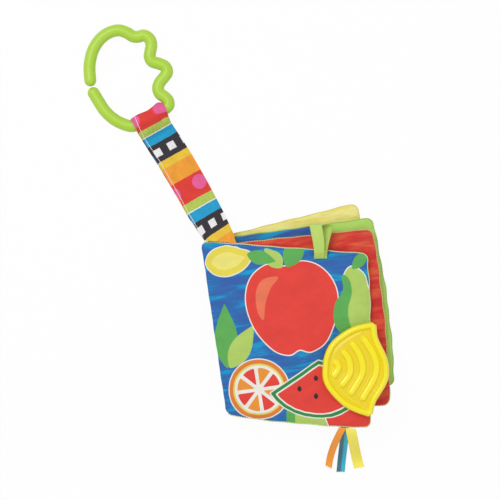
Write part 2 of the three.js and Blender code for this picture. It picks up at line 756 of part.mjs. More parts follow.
const linkFrame = new THREE.Group();
const strapTurn = radians(STRAP_TURN_DEG);
linkFrame.name = "link_hinge";
linkFrame.position.set(
  -STRAP_LENGTH * Math.sin(strapTurn),
  STRAP_LENGTH * Math.cos(strapTurn),
  ROD_HEIGHT - strapFrame.position.z,
);
linkFrame.rotation.set(0, 0, strapTurn);
const linkTilt = new THREE.Group();
linkTilt.rotation.x = -Math.asin((ROD_HEIGHT - LINK_ROD / 2 - FIT / 2) / LINK_LENGTH);
linkTilt.position.x = LINK_SHIFT;
linkTilt.add(linkMesh());
linkFrame.add(linkTilt);
strapFrame.add(linkFrame);

const teetherFrame = new THREE.Group();
teetherFrame.name = "teether_hinge";
teetherFrame.position.set(
  LEAF_WIDTH * TEETHER_PLACE_SHARES.across,
  -LEAF_HEIGHT * TEETHER_PLACE_SHARES.down,
  faceHeight + TAB_THICKNESS + FIT,
);
teetherFrame.rotation.z = radians(TEETHER_TURN_DEG);
teetherFrame.add(teetherMesh());
cover.group.add(teetherFrame);
const tab = tabMesh();
tab.position.copy(teetherFrame.position);
tab.position.z = faceHeight;
tab.rotation.z = teetherFrame.rotation.z;
cover.group.add(tab);

const loopFrame = new THREE.Group();
const loopAt = cover.leaf.plan(LOOP_PLACE_SHARE / coverShape.top, 1);
loopFrame.name = "ribbon_loop_hinge";
loopFrame.position.set(
  loopAt.x + LOOP_SEAM_INSET * Math.sin(topSlope),
  loopAt.y - LOOP_SEAM_INSET * Math.cos(topSlope),
  faceHeight + RIBBON + FIT / 2,
);
loopFrame.rotation.z = radians(LOOP_TURN_DEG - 90);
loopFrame.add(ribbonLoopMesh());
cover.group.add(loopFrame);

const tailFrame = seamFrame("ribbon_tails_hinge", LEAF_WIDTH * TAIL_PLACE_SHARE, false);
for (const name of Object.keys(TAILS)) {
  tailFrame.add(tailMesh(name, tailFrame.position.z));
}

// The origin goes to the middle of the part's footprint, on the table.
root.updateMatrixWorld(true);
const box = new THREE.Box3().setFromObject(root, true);
const middle = box.getCenter(new THREE.Vector3());
book.position.set(-middle.x, -middle.y, -box.min.z);

export default root;
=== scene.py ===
"""Looks of a crinkle cloth book for a baby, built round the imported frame.

Four stuffed cloth leaves with overlocked edges, a printed strap with a plastic link, a
moulded teether, a ribbon loop and three ribbon tails. Sizes are in millimetres until a
piece is placed; placed pieces are in metres, in the row frame.
"""

from __future__ import annotations
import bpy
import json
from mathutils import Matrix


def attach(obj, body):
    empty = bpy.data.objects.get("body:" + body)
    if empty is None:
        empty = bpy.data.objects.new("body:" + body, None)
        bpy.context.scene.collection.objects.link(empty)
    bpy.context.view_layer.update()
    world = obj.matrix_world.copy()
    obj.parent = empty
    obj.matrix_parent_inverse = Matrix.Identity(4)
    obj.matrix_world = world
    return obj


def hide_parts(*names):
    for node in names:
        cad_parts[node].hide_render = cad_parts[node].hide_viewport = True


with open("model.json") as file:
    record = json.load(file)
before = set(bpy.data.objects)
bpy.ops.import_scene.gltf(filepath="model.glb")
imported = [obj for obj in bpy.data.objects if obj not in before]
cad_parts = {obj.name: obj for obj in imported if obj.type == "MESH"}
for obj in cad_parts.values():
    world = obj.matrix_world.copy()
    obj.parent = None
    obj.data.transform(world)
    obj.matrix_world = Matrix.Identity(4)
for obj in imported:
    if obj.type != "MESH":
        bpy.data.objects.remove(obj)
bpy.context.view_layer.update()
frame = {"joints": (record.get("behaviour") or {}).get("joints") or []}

import json
import logging
import math
from dataclasses import dataclass
from enum import Enum
from typing import Any, Callable, Sequence

import bpy
import numpy as np
from mathutils import Vector, noise

log = logging.getLogger("cloth_book")

MM = 0.001
UV_SPAN = 300.0  # a UV map covers this many millimetres each way
LEAF_UV_ORIGIN = (40.0, 200.0)
STRIP_UV_ORIGIN = (40.0, 20.0)
TAU = 2 * math.pi

Points = np.ndarray
Piece = bpy.types.Object


# Small mathematics


def smooth(share: Points | float) -> Points:
    """Returns the smooth step of a share, from 0 to 1."""
    x = np.clip(share, 0.0, 1.0)
    return x * x * (3 - 2 * x)


def unit(vector: Sequence[float]) -> Points:
    """Returns a vector at length 1."""
    v = np.array(vector, float)
    return v / np.linalg.norm(v)


def catmull(
    points: Sequence[Sequence[float]], steps: int, closed: bool, power: float = 0.0
) -> Points:
    """Runs a Catmull-Rom curve through points.

    Args:
        points: the points, each of two or three numbers.
        steps: stretches between neighbouring points.
        closed: whether the curve ends where it starts.
        power: 0 for uniform knots, 0.5 for centripetal ones.

    Returns:
        The curve's points; an open curve holds its last point, a closed one doesn't repeat it.
    """
    p = np.array(points, float)
    if closed:
        p = np.vstack([p[-1:], p, p[:2]])
    elif power:
        p = np.vstack([2 * p[:1] - p[1:2], p, 2 * p[-1:] - p[-2:-1]])
    else:
        p = np.vstack([p[:1], p, p[-1:]])
    made = []
    for i in range(1, len(p) - 2):
        four = p[i - 1 : i + 3]
        gaps = np.maximum(np.linalg.norm(np.diff(four, axis=0), axis=1) ** power, 1e-6)
        knots = np.concatenate([[0.0], np.cumsum(gaps)])
        for t in np.arange(steps) / steps:
            s = knots[1] + gaps[1] * t
            level = list(four)
            for spans in (((0, 1), (1, 2), (2, 3)), ((0, 2), (1, 3)), ((1, 2),)):
                shares = [(s - knots[a]) / (knots[b] - knots[a]) for a, b in spans]
                level = [(1 - k) * u + k * v for u, v, k in zip(level, level[1:], shares)]
            made.append(level[0])
    if not closed:
        made.append(p[-2])
    return np.array(made)


def lengths_along(points: Points) -> Points:
    """Returns how far along a line each of its points lies."""
    steps = np.linalg.norm(np.diff(points, axis=0), axis=1)
    return np.concatenate([[0.0], np.cumsum(steps)])


def spaced(points: Points, step: float) -> Points:
    """Returns a line's points set at equal steps along it."""
    along = lengths_along(points)
    count = max(2, int(round(along[-1] / step)) + 1)
    at = np.linspace(0.0, along[-1], count)
    return np.stack([np.interp(at, along, points[:, k]) for k in range(points.shape[1])], 1)


def signed_distance(points: Points, outline: Points) -> Points:
    """Measures how far points lie from a closed outline.

    Args:
        points: an array of points, two numbers each.
        outline: the outline's corners.

    Returns:
        Distances in millimetres, below 0 inside the outline.
    """
    nearest = np.full(len(points), 1e9)
    inside = np.zeros(len(points), bool)
    for a, b in zip(outline, np.roll(outline, -1, axis=0)):
        edge = b - a
        off = points - a
        t = np.clip(off @ edge / max(float(edge @ edge), 1e-9), 0, 1)
        nearest = np.minimum(nearest, np.linalg.norm(off - t[:, None] * edge, axis=1))
        crosses = (a[1] > points[:, 1]) != (b[1] > points[:, 1])
        rise = b[1] - a[1] if abs(b[1] - a[1]) > 1e-9 else 1e-9
        at = a[0] + (points[:, 1] - a[1]) / rise * edge[0]
        inside ^= crosses & (points[:, 0] < at)
    return np.where(inside, -nearest, nearest)


@dataclass(frozen=True)
class LocalFrame:
    """A frame in the row frame: its origin in metres and its three axes."""

    origin: tuple[float, float, float]
    x: tuple[float, float, float]
    y: tuple[float, float, float]
    z: tuple[float, float, float]

    def place(self, points: Points) -> Points:
        """Turns points in local millimetres into metres in the row frame."""
        axes = np.array([self.x, self.y, self.z])
        return np.array(self.origin) + points @ axes * MM

    def read(self, points: Points) -> Points:
        """Turns points in metres in the row frame into local millimetres."""
        axes = np.array([self.x, self.y, self.z])
        return (points - np.array(self.origin)) @ axes.T / MM


def frame_of(origin: Sequence[float], x: Sequence[float], up: Sequence[float]) -> LocalFrame:
    """Makes a frame from its X axis and a direction close to its Z axis."""
    ux = unit(x)
    uz = unit(np.array(up, float) - np.dot(up, ux) * ux)
    uy = np.cross(uz, ux)
    return LocalFrame(tuple(origin), tuple(ux), tuple(uy), tuple(uz))


JOINTS = {j["name"]: j for j in frame["joints"]}
UP = (0.0, 0.0, 1.0)
COVER_NORMAL = (-0.02589, -0.00382, 0.99966)


def frame_at(name: str, up: Sequence[float] = UP, sign: float = 1.0) -> LocalFrame:
    """Makes a frame at a joint, whose X axis is the joint's, or its opposite."""
    joint = JOINTS[name]
    return frame_of(joint["pos_m"], sign * np.array(joint["axis"]), up)


# Modelling by hand


class Bench:
    """Blender's modelling tools, as this object's pieces use them."""

    @staticmethod
    def alone(piece: Piece) -> None:
        """Selects one object and makes it active."""
        bpy.ops.object.select_all(action="DESELECT")
        piece.select_set(True)
        bpy.context.view_layer.objects.active = piece

    @classmethod
    def apply(cls, piece: Piece, kind: str, **settings: Any) -> None:
        """Adds a modifier with its settings and applies it."""
        cls.alone(piece)
        modifier = piece.modifiers.new(kind.title(), kind)
        for name, value in settings.items():
            setattr(modifier, name, value)
        bpy.ops.object.modifier_apply(modifier=modifier.name)

    @staticmethod
    def start(name: str, operator: Callable, **settings: Any) -> Piece:
        """Adds a primitive, with nothing else selected, and names it."""
        bpy.ops.object.select_all(action="DESELECT")
        operator(**settings)
        piece = bpy.context.object
        piece.name = piece.data.name = name
        return piece

    @classmethod
    def grid(cls, name: str, columns: int, rows: int) -> tuple[Piece, Points, Points]:
        """Adds a grid.

        Args:
            name: the piece's name.
            columns: faces along X.
            rows: faces along Y.

        Returns:
            The object, and each vertex's column and row.
        """
        add = bpy.ops.mesh.primitive_grid_add
        piece = cls.start(name, add, x_subdivisions=columns, y_subdivisions=rows, size=1)
        index = np.arange(len(piece.data.vertices))
        return piece, index % (columns + 1), index // (columns + 1)

    @staticmethod
    def points(piece: Piece) -> Points:
        """Reads a mesh's vertices."""
        flat = np.zeros(len(piece.data.vertices) * 3)
        piece.data.vertices.foreach_get("co", flat)
        return flat.reshape(-1, 3)

    @staticmethod
    def move(piece: Piece, points: Points) -> None:
        """Moves a mesh's vertices."""
        piece.data.vertices.foreach_set("co", points.ravel())
        piece.data.update()

    @classmethod
    def edit(cls, piece: Piece, operator: Callable, **settings: Any) -> None:
        """Runs an operator on all of a mesh in edit mode."""
        cls.alone(piece)
        bpy.ops.object.mode_set(mode="EDIT")
        bpy.ops.mesh.select_all(action="SELECT")
        operator(**settings)
        bpy.ops.object.mode_set(mode="OBJECT")

    @classmethod
    def merge(cls, piece: Piece, reach: float) -> None:
        """Merges a closed mesh's doubled vertices and points its faces outwards."""
        cls.edit(piece, bpy.ops.mesh.remove_doubles, threshold=reach)
        cls.edit(piece, bpy.ops.mesh.normals_make_consistent, inside=False)

    @classmethod
    def shade(cls, piece: Piece, degrees: float = 180.0) -> None:
        """Shades a piece smooth across edges flatter than an angle."""
        cls.alone(piece)
        bpy.ops.object.shade_smooth_by_angle(angle=math.radians(degrees))

    @classmethod
    def join(cls, name: str, pieces: Sequence[Piece]) -> Piece:
        """Joins pieces into the first one."""
        bpy.ops.object.select_all(action="DESELECT")
        for piece in pieces:
            piece.select_set(True)
        bpy.context.view_layer.objects.active = pieces[0]
        bpy.ops.object.join()
        made = bpy.context.object
        made.name = made.data.name = name
        return made

    @classmethod
    def put(cls, piece: Piece, here: LocalFrame) -> None:
        """Puts a mesh that was made in a frame, in metres, in its place."""
        cls.move(piece, here.place(cls.points(piece) / MM))

    @classmethod
    def thicken(
        cls, piece: Piece, thickness: float, degrees: float = 50.0, even: bool = True
    ) -> None:
        """Gives a sheet its thickness in millimetres and shades it across edges below an angle."""
        cls.apply(piece, "SOLIDIFY", thickness=thickness * MM, offset=0.0, use_even_offset=even)
        cls.shade(piece, degrees)

    @staticmethod
    def write_uv(piece: Piece, flat: Points, origin: tuple[float, float]) -> None:
        """Writes a UV map.

        Args:
            piece: the mesh.
            flat: each vertex's place on the flat cloth, in millimetres.
            origin: the millimetres that lie left of and below the flat cloth's origin.
        """
        layer = piece.data.uv_layers.active or piece.data.uv_layers.new(name="UVMap")
        index = np.zeros(len(piece.data.loops), int)
        piece.data.loops.foreach_get("vertex_index", index)
        uv = (flat + np.array(origin)) / UV_SPAN
        layer.data.foreach_set("uv", uv[index].ravel())

    @staticmethod
    def write_value(piece: Piece, name: str, values: Points) -> None:
        """Writes one number for each vertex."""
        made = piece.data.attributes.new(name, "FLOAT", "POINT")
        made.data.foreach_set("value", values.astype(np.float32))

    @classmethod
    def tube(
        cls,
        name: str,
        lines: Sequence[Points],
        radius: float,
        shares: Points | None = None,
        closed: bool = False,
        roundness: int = 3,
    ) -> Piece:
        """Sweeps a round section along lines.

        Args:
            name: the piece's name.
            lines: each line's points in metres.
            radius: the section's radius in metres.
            shares: each point's share of the radius.
            closed: whether the lines close on themselves.
            roundness: the curve's bevel resolution.

        Returns:
            The tubes as one mesh, its vertices ring by ring.
        """
        piece = cls.start("path", bpy.ops.curve.primitive_nurbs_path_add)
        curve = piece.data
        curve.splines.clear()
        for line in lines:
            spline = curve.splines.new("POLY")
            spline.points.add(len(line) - 1)
            spline.points.foreach_set("co", np.hstack([line, np.ones((len(line), 1))]).ravel())
            if shares is not None:
                spline.points.foreach_set("radius", shares)
            spline.use_cyclic_u = closed
        curve.dimensions = "3D"
        curve.twist_mode = "MINIMUM"
        curve.bevel_depth = radius
        curve.bevel_resolution = roundness
        curve.use_fill_caps = not closed
        cls.alone(piece)
        bpy.ops.object.convert(target="MESH")
        piece = bpy.context.object
        piece.name = piece.data.name = name
        return piece


def strip(
    name: str,
    path: Points,
    shares: Points,
    place: Callable[[Points, Points, Points], Points],
    thickness: float,
    across: float,
) -> Piece:
    """Models a strip of cloth along a path in one plane.

    Args:
        name: the piece's name.
        path: points (along, up) in millimetres; the cloth's face is on their left.
        shares: shares of the strip's width.
        place: turns (along, up, share) into metres in the row frame.
        thickness: the cloth's thickness in millimetres.
        across: the strip's width in millimetres, for its UV map.

    Returns:
        The strip, closed and with its thickness.
    """
    piece, column, row = Bench.grid(name, len(path) - 1, len(shares) - 1)
    along = lengths_along(path)
    Bench.move(piece, place(path[column, 0], path[column, 1], shares[row]))
    Bench.write_uv(piece, np.stack([shares[row] * across, along[column]], 1), STRIP_UV_ORIGIN)
    Bench.thicken(piece, thickness)
    return piece


# Finishes


def linear(code: str) -> tuple[float, float, float, float]:
    """Turns an sRGB hex colour into a linear one."""
    channels = [int(code[i : i + 2], 16) / 255 for i in (1, 3, 5)]
    made = [c / 12.92 if c <= 0.04045 else ((c + 0.055) / 1.055) ** 2.4 for c in channels]
    return (made[0], made[1], made[2], 1.0)


class Recipe:
    """The nodes of one material, or of the world."""

    def __init__(self, of: bpy.types.Material | bpy.types.World) -> None:
        """Starts with an empty tree."""
        of.use_nodes = True
        self.of = of
        self.tree = of.node_tree
        self.tree.nodes.clear()

    def add(
        self, kind: str, inputs: dict | None = None, out: int | str = 0, **settings: Any
    ) -> Any:
        """Adds a node.

        Args:
            kind: the node's type.
            inputs: by input name or number, a value, a hex colour or the output that links to it.
            out: the output that is wanted.
            settings: the node's properties.

        Returns:
            The output.
        """
        made = self.tree.nodes.new("ShaderNode" + kind)
        for name, value in settings.items():
            setattr(made, name, value)
        for name, value in (inputs or {}).items():
            if isinstance(value, bpy.types.NodeSocket):
                self.tree.links.new(value, made.inputs[name])
            else:
                made.inputs[name].default_value = linear(value) if isinstance(value, str) else value
        return made.outputs[out] if made.outputs else None

    def flat(self, origin: tuple[float, float]) -> Any:
        """Gives places on the flat cloth in millimetres, read from the UV map."""
        moved = (-origin[0], -origin[1], 0)
        return self.add("Mapping", {0: self.add("UVMap"), 1: moved, 3: (UV_SPAN, UV_SPAN, 1)})

    def patches(self, flat: Any, across: float, along: float, detail: float = 3.0) -> Any:
        """Gives noise whose patches are about across by along millimetres."""
        scaled = self.add("Mapping", {"Vector": flat, "Scale": (1 / across, 1 / along, 1)})
        inputs = {"Vector": scaled, "Scale": 1.0, "Detail": detail, "Roughness": 0.6}
        return self.add("TexNoise", inputs)

    def grain(self, per_metre: float, detail: float = 2.0) -> Any:
        """Gives noise through the piece, with so many grains to the metre."""
        where = self.add("TexCoord", out="Object")
        inputs = {"Vector": where, "Scale": per_metre, "Detail": detail}
        return self.add("TexNoise", inputs)

    def waves(self, along: Any, pitch: float) -> Any:
        """Gives waves that lie a pitch apart."""
        turn = self.add("Math", {0: along, 1: TAU / pitch}, operation="MULTIPLY")
        return self.add("Math", {0: turn}, operation="SINE")

    def lay(
        self,
        below: Any,
        above: Any,
        by: Any,
        start: float = 0.0,
        end: float = 1.0,
        most: float = 1.0,
    ) -> Any:
        """Lays a colour over another.

        Args:
            below: the lower colour.
            above: the upper colour.
            by: what decides where it lies.
            start: where the upper colour is nothing yet.
            end: where it is at its most.
            most: its share there.

        Returns:
            The colour.
        """
        share = self.add("MapRange", {0: by, 1: start, 2: end, 4: most})
        return self.add("Mix", {0: share, 6: below, 7: above}, 2, data_type="RGBA")

    def wear(
        self, color: Any, by: Any, dark: float, light: float, start: float = 0.0, end: float = 1.0
    ) -> Any:
        """Makes a colour uneven: dark times its own where by is at start, light times at end."""
        shade = self.add("MapRange", {0: by, 1: start, 2: end, 3: dark, 4: light})
        settings = {"data_type": "RGBA", "blend_type": "MULTIPLY"}
        return self.add("Mix", {0: 1.0, 6: color, 7: shade}, 2, **settings)

    def finish(
        self, color: Any, height: Any, depth: float, strength: float, shine: dict
    ) -> bpy.types.Material:
        """Adds the shader.

        Args:
            color: the colour.
            height: the height of the fine relief.
            depth: how deep it is, in millimetres.
            strength: how much of it shows.
            shine: the shader's other inputs.

        Returns:
            The material.
        """
        relief = self.add("Bump", {"Height": height, "Distance": depth * MM, "Strength": strength})
        shader = self.add("BsdfPrincipled", {"Base Color": color, "Normal": relief, **shine})
        self.add("OutputMaterial", {0: shader})
        return self.of


def recipe(name: str) -> Recipe:
    """Starts a material."""
    return Recipe(bpy.data.materials.new(name))


@dataclass(frozen=True)
class Layer:
    """One colour of a print: laid where an outline's distance is below a reach."""

    outline: str
    reach: float
    color: str


@dataclass(frozen=True)
class PrintedCloth:
    """Brushed woven polyester with a printed picture.

    The brushed nap makes it matte with a soft sheen at grazing angles. Real threads lie
    0.25 mm apart; they are drawn 0.7 mm apart, so that they show in a close view.
    """

    name: str
    ground: tuple[str, str, str]
    layers: tuple[Layer, ...] = ()
    stroke: tuple[float, float] = (38.0, 7.0)
    edge: float = 0.14
    pitch: float = 0.7

    def build(self) -> bpy.types.Material:
        """Makes the material."""
        made = recipe(self.name)
        flat = made.flat(LEAF_UV_ORIGIN)
        strokes = made.patches(flat, *self.stroke)
        fine = made.patches(flat, self.stroke[0] / 5, self.stroke[1] / 5)
        ragged = made.add("Math", {0: fine, 1: 0.14, 2: strokes}, operation="MULTIPLY_ADD")
        dark, body, light = self.ground
        color = made.lay(made.lay(dark, body, ragged, 0.47, 0.57), light, ragged, 0.58, 0.7)
        for layer in self.layers:
            distance = made.add("Attribute", out="Fac", attribute_name=layer.outline)
            edges = (layer.reach + self.edge, layer.reach - self.edge)
            color = made.lay(color, layer.color, distance, *edges)
        color = made.wear(color, made.patches(flat, 17.0, 11.0), 0.93, 1.05, 0.3, 0.7)
        threads = made.add("SeparateXYZ", {0: flat}).node.outputs[:2]
        warp, weft = (made.waves(part, self.pitch) for part in threads)
        weave = made.add("Math", {0: warp, 1: weft}, operation="MULTIPLY")
        nap = made.patches(flat, 1.3, 1.3)
        height = made.add("Math", {0: weave, 1: 0.5, 2: nap}, operation="MULTIPLY_ADD")
        shine = {"Roughness": 0.82, "Sheen Weight": 0.12, "Sheen Roughness": 0.5}
        return made.finish(color, height, 0.12, 0.5, {**shine, "Specular IOR Level": 0.25})


@dataclass(frozen=True)
class Thread:
    """Spun polyester sewing thread, laid over an edge by an overlock machine.

    The laps stand proud and catch the light; between them the colour is darkened toward
    the shadow colour, a painted shade.
    """

    name: str
    color: str
    shadow: str

    def build(self) -> bpy.types.Material:
        """Makes the material."""
        made = recipe(self.name)
        lap = made.add("Attribute", out="Fac", attribute_name="lap")
        fibre = made.grain(2600.0)
        # Painted shade: between the laps the thread takes its shadow colour.
        color = made.wear(made.lay(self.shadow, self.color, lap), fibre, 0.85, 1.12)
        return made.finish(color, fibre, 0.1, 0.6, {"Roughness": 0.6, "Sheen Weight": 0.1})


@dataclass(frozen=True)
class Band:
    """One colour band of the strap's print, which starts this far into its repeat."""

    start: float
    color: str


@dataclass(frozen=True)
class Marks:
    """A row of squares or dots across the strap: its place in the repeat, their size and pitch."""

    at: float
    reach: float
    pitch: float
    shift: float
    color: str
    are_round: bool


@dataclass(frozen=True)
class PrintedWebbing:
    """Flat woven polyester webbing with a printed repeat of bands, squares and dots, a bit askew.

    Its ribs run across the strap and break the light into fine lines. Real ribs lie 0.6 mm
    apart; they are drawn 0.9 mm apart.
    """

    name: str
    repeat: float
    first: float
    drift: float
    bands: tuple[Band, ...]
    marks: tuple[Marks, ...]
    rib: float = 0.9
    edge: float = 0.12

    def build(self) -> bpy.types.Material:
        """Makes the material."""
        made = recipe(self.name)
        flat = made.flat(STRIP_UV_ORIGIN)
        across, along = made.add("SeparateXYZ", {0: flat}).node.outputs[:2]
        wobble = made.patches(flat, 9.0, 30.0, detail=1.0)
        inputs = {0: wobble, 1: 0.9, 2: self.first - 0.45}
        start = made.add("Math", inputs, operation="MULTIPLY_ADD")
        run = made.add("Math", {0: start, 1: along}, operation="SUBTRACT")
        place = made.add("Math", {0: run, 1: self.repeat}, operation="FLOORED_MODULO")
        askew = made.add("Math", {0: along, 1: -self.drift, 2: across}, operation="MULTIPLY_ADD")
        color: Any = self.bands[0].color
        for band in self.bands[1:]:
            low, high = band.start - self.edge, band.start + self.edge
            color = made.lay(color, band.color, place, low, high)
        for row in self.marks:
            shift = row.shift * row.pitch + self.drift * (self.first - self.marks[-1].at)
            shifted = made.add("Math", {0: askew, 1: shift}, operation="ADD")
            cell = made.add("Math", {0: shifted, 1: row.pitch}, operation="FLOORED_MODULO")
            beside = made.add("Math", {0: cell, 1: row.pitch / 2}, operation="SUBTRACT")
            ahead = made.add("Math", {0: place, 1: row.at}, operation="SUBTRACT")
            if row.are_round:
                off = made.add("CombineXYZ", {0: beside, 1: ahead})
                far = made.add("VectorMath", {0: off}, "Value", operation="LENGTH")
            else:
                sides = [
                    made.add("Math", {0: part}, operation="ABSOLUTE") for part in (beside, ahead)
                ]
                far = made.add("Math", dict(enumerate(sides)), operation="MAXIMUM")
            color = made.lay(color, row.color, far, row.reach + self.edge, row.reach - self.edge)
        color = made.wear(color, made.patches(flat, 6.0, 9.0), 0.9, 1.06, 0.3, 0.7)
        rib, yarn = made.waves(along, self.rib), made.waves(across, 2 * self.rib)
        height = made.add("Math", {0: yarn, 1: 0.35, 2: rib}, operation="MULTIPLY_ADD")
        shine = {"Roughness": 0.7, "Sheen Weight": 0.08, "Specular IOR Level": 0.3}
        return made.finish(color, height, 0.09, 0.5, shine)


@dataclass(frozen=True)
class SatinRibbon:
    """Woven polyester satin ribbon: smooth, so that it glints across its length, with selvedges.

    Real ribs lie about 0.2 mm apart; they are drawn 0.55 mm apart, so that they show in a close
    view, and a twill tape's 0.8 mm apart. Where a shade colour is given for it, the ribbon's
    left half is darkened toward that colour: a painted shade.
    """

    name: str
    color: str
    shade: str
    width: float
    # colour of a painted shade laid over the ribbon's left half; empty for none
    folded: str = ""
    rib: float = 0.55

    def build(self) -> bpy.types.Material:
        """Makes the material."""
        made = recipe(self.name)
        flat = made.flat(STRIP_UV_ORIGIN)
        across, along = made.add("SeparateXYZ", {0: flat}).node.outputs[:2]
        edge = made.add("Math", {0: across}, operation="ABSOLUTE")
        selvedge = made.add("MapRange", {0: edge, 1: self.width / 2 - 1.0, 2: self.width / 2 - 0.5})
        color = made.lay(self.color, self.shade, made.patches(flat, 3.0, 8.0), most=0.45)
        color = made.lay(color, self.shade, selvedge, most=0.3)
        # Painted shade: the left half is darkened toward that colour, as if turned away from the
        # light.
        if self.folded:
            color = made.lay(color, self.folded, across, 0.1 * self.width, -0.06 * self.width, 0.85)
        rib = made.waves(along, self.rib)
        height = made.add("Math", {0: rib, 1: 0.5, 2: selvedge}, operation="MULTIPLY_ADD")
        shine = {"Roughness": 0.48, "Sheen Weight": 0.08, "Anisotropic": 0.4}
        return made.finish(color, height, 0.08, 0.5, shine)


@dataclass(frozen=True)
class MouldedPlastic:
    """Injection-moulded plastic: polypropylene for the link, a soft elastomer for the teether.

    It is glossy, and a faint unevenness of the mould breaks its glints. Where heights are given,
    its hollows get a painted shade: low places take the shade colour.
    """

    name: str
    color: str
    # the darker colour of the random mottling, and of the painted shade in the hollows
    shade: str
    roughness: float
    coat: float
    painted_shade_height: tuple[float, float] | None = None

    def build(self) -> bpy.types.Material:
        """Makes the material."""
        made = recipe(self.name)
        cloud = made.grain(60.0)
        color = made.lay(self.color, self.shade, cloud, most=0.3)
        # Painted shade: low places take the shade colour, fading to the full colour at the upper
        # height.
        if self.painted_shade_height:
            height = made.add("Attribute", out="Fac", attribute_name="painted_shade_height")
            color = made.lay(self.shade, color, height, *self.painted_shade_height)
        gloss = made.add("MapRange", {0: cloud, 3: self.roughness - 0.04, 4: self.roughness + 0.06})
        shine = {"Roughness": gloss, "IOR": 1.5, "Coat Weight": self.coat, "Coat Roughness": 0.12}
        return made.finish(color, made.grain(240.0), 0.2, 0.06, shine)


@dataclass(frozen=True)
class LooseFill:
    """Polyester batting or crackling film inside a leaf, seen only if the leaf is opened.

    Batting is matte and full of fibres; film is smoother, and its crumples catch the light.
    """

    name: str
    color: str
    roughness: float
    grain: float

    def build(self) -> bpy.types.Material:
        """Makes the material."""
        made = recipe(self.name)
        grain = made.grain(1 / (self.grain * MM), 4.0)
        color = made.wear(self.color, grain, 0.86, 1.05)
        return made.finish(color, grain, 0.6, 0.7, {"Roughness": self.roughness})


def hand_over(
    piece: Piece,
    body: str,
    material: bpy.types.Material,
    nodes: Sequence[str] = (),
) -> Piece:
    """Dresses a finished piece and hands it to the frame.

    Args:
        piece: the piece, in place.
        body: the body that it rides on.
        material: its material.
        nodes: the CAD nodes that it stands for.

    Returns:
        The piece.
    """
    piece.data.materials.clear()
    piece.data.materials.append(material)
    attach(piece, body)
    if nodes:
        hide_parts(*nodes)
    log.info("%s rides on %s: %d faces", piece.name, body, len(piece.data.polygons))
    return piece


# The inks of the prints, and the outlines in millimetres from the top of the spine

CREAM = "#F4F0E8"
RED = "#E8473E"
CORAL = "#F07A5A"
ORANGE = "#E5823C"
AMBER = "#F0983C"
YELLOW = "#E4DA66"
SUN = "#EDC53C"
LIME = "#B5D36A"
PALE_GREEN = "#A8D05E"
GREEN = "#62B15A"
RIND = "#2F8F4A"
BLUE = "#2F6FB5"
BLACK = "#322C33"


def disc(x: float, y: float, radius: float, corners: int = 72) -> Points:
    """Gives a circle."""
    turn = np.arange(corners) / corners * TAU
    return np.stack([x + radius * np.cos(turn), y + radius * np.sin(turn)], 1)


def blossom(
    x: float, y: float, radius: float, petals: int, depth: float, corners: int = 144
) -> Points:
    """Gives a round flower whose petals are cut in by a share of its radius."""
    turn = np.arange(corners) / corners * TAU
    reach = radius * (1 - depth + depth * np.abs(np.cos(petals * turn / 2)))
    return np.stack([x + reach * np.cos(turn), y + reach * np.sin(turn)], 1)


def leaflet(x: float, y: float, degrees: float, length: float, width: float) -> Points:
    """Gives a pointed leaf that starts at a point and runs in a direction."""
    t = np.linspace(0.0, 1.0, 32)
    half = width / 2 * np.sin(math.pi * t**0.8)
    near, far = (np.stack([t * length, edge], 1) for edge in (half, -half))
    side = np.concatenate([near, far[-2:0:-1]])
    turn = math.radians(degrees)
    axes = np.array([[math.cos(turn), math.sin(turn)], [-math.sin(turn), math.cos(turn)]])
    return side @ axes + np.array([x, y])


def pie(x: float, y: float, inner: float, outer: float, start: float, sweep: float) -> Points:
    """Gives a slice of a ring, with rounded corners left to the print's soft edge."""
    turn = np.radians(start + sweep * np.linspace(0.0, 1.0, 14))
    arc = np.stack([np.cos(turn), np.sin(turn)], 1)
    middle = math.radians(start + sweep / 2)
    tip = np.array([[math.cos(middle), math.sin(middle)]]) * inner
    return np.concatenate([arc * outer, tip]) + np.array([x, y])


def blob(*points: tuple[float, float]) -> Points:
    """Gives a smooth closed shape through points."""
    return catmull(points, 10, True)


@dataclass(frozen=True)
class Picture:
    """A print's outlines and the colours laid over one another."""

    outlines: dict[str, Points]
    layers: tuple[Layer, ...]


def outlined(name: str, color: str, line: str = CREAM, width: float = 0.9) -> tuple[Layer, ...]:
    """Gives a shape's colour over a pale line round it."""
    return (Layer(name, width, line), Layer(name, 0.0, color))


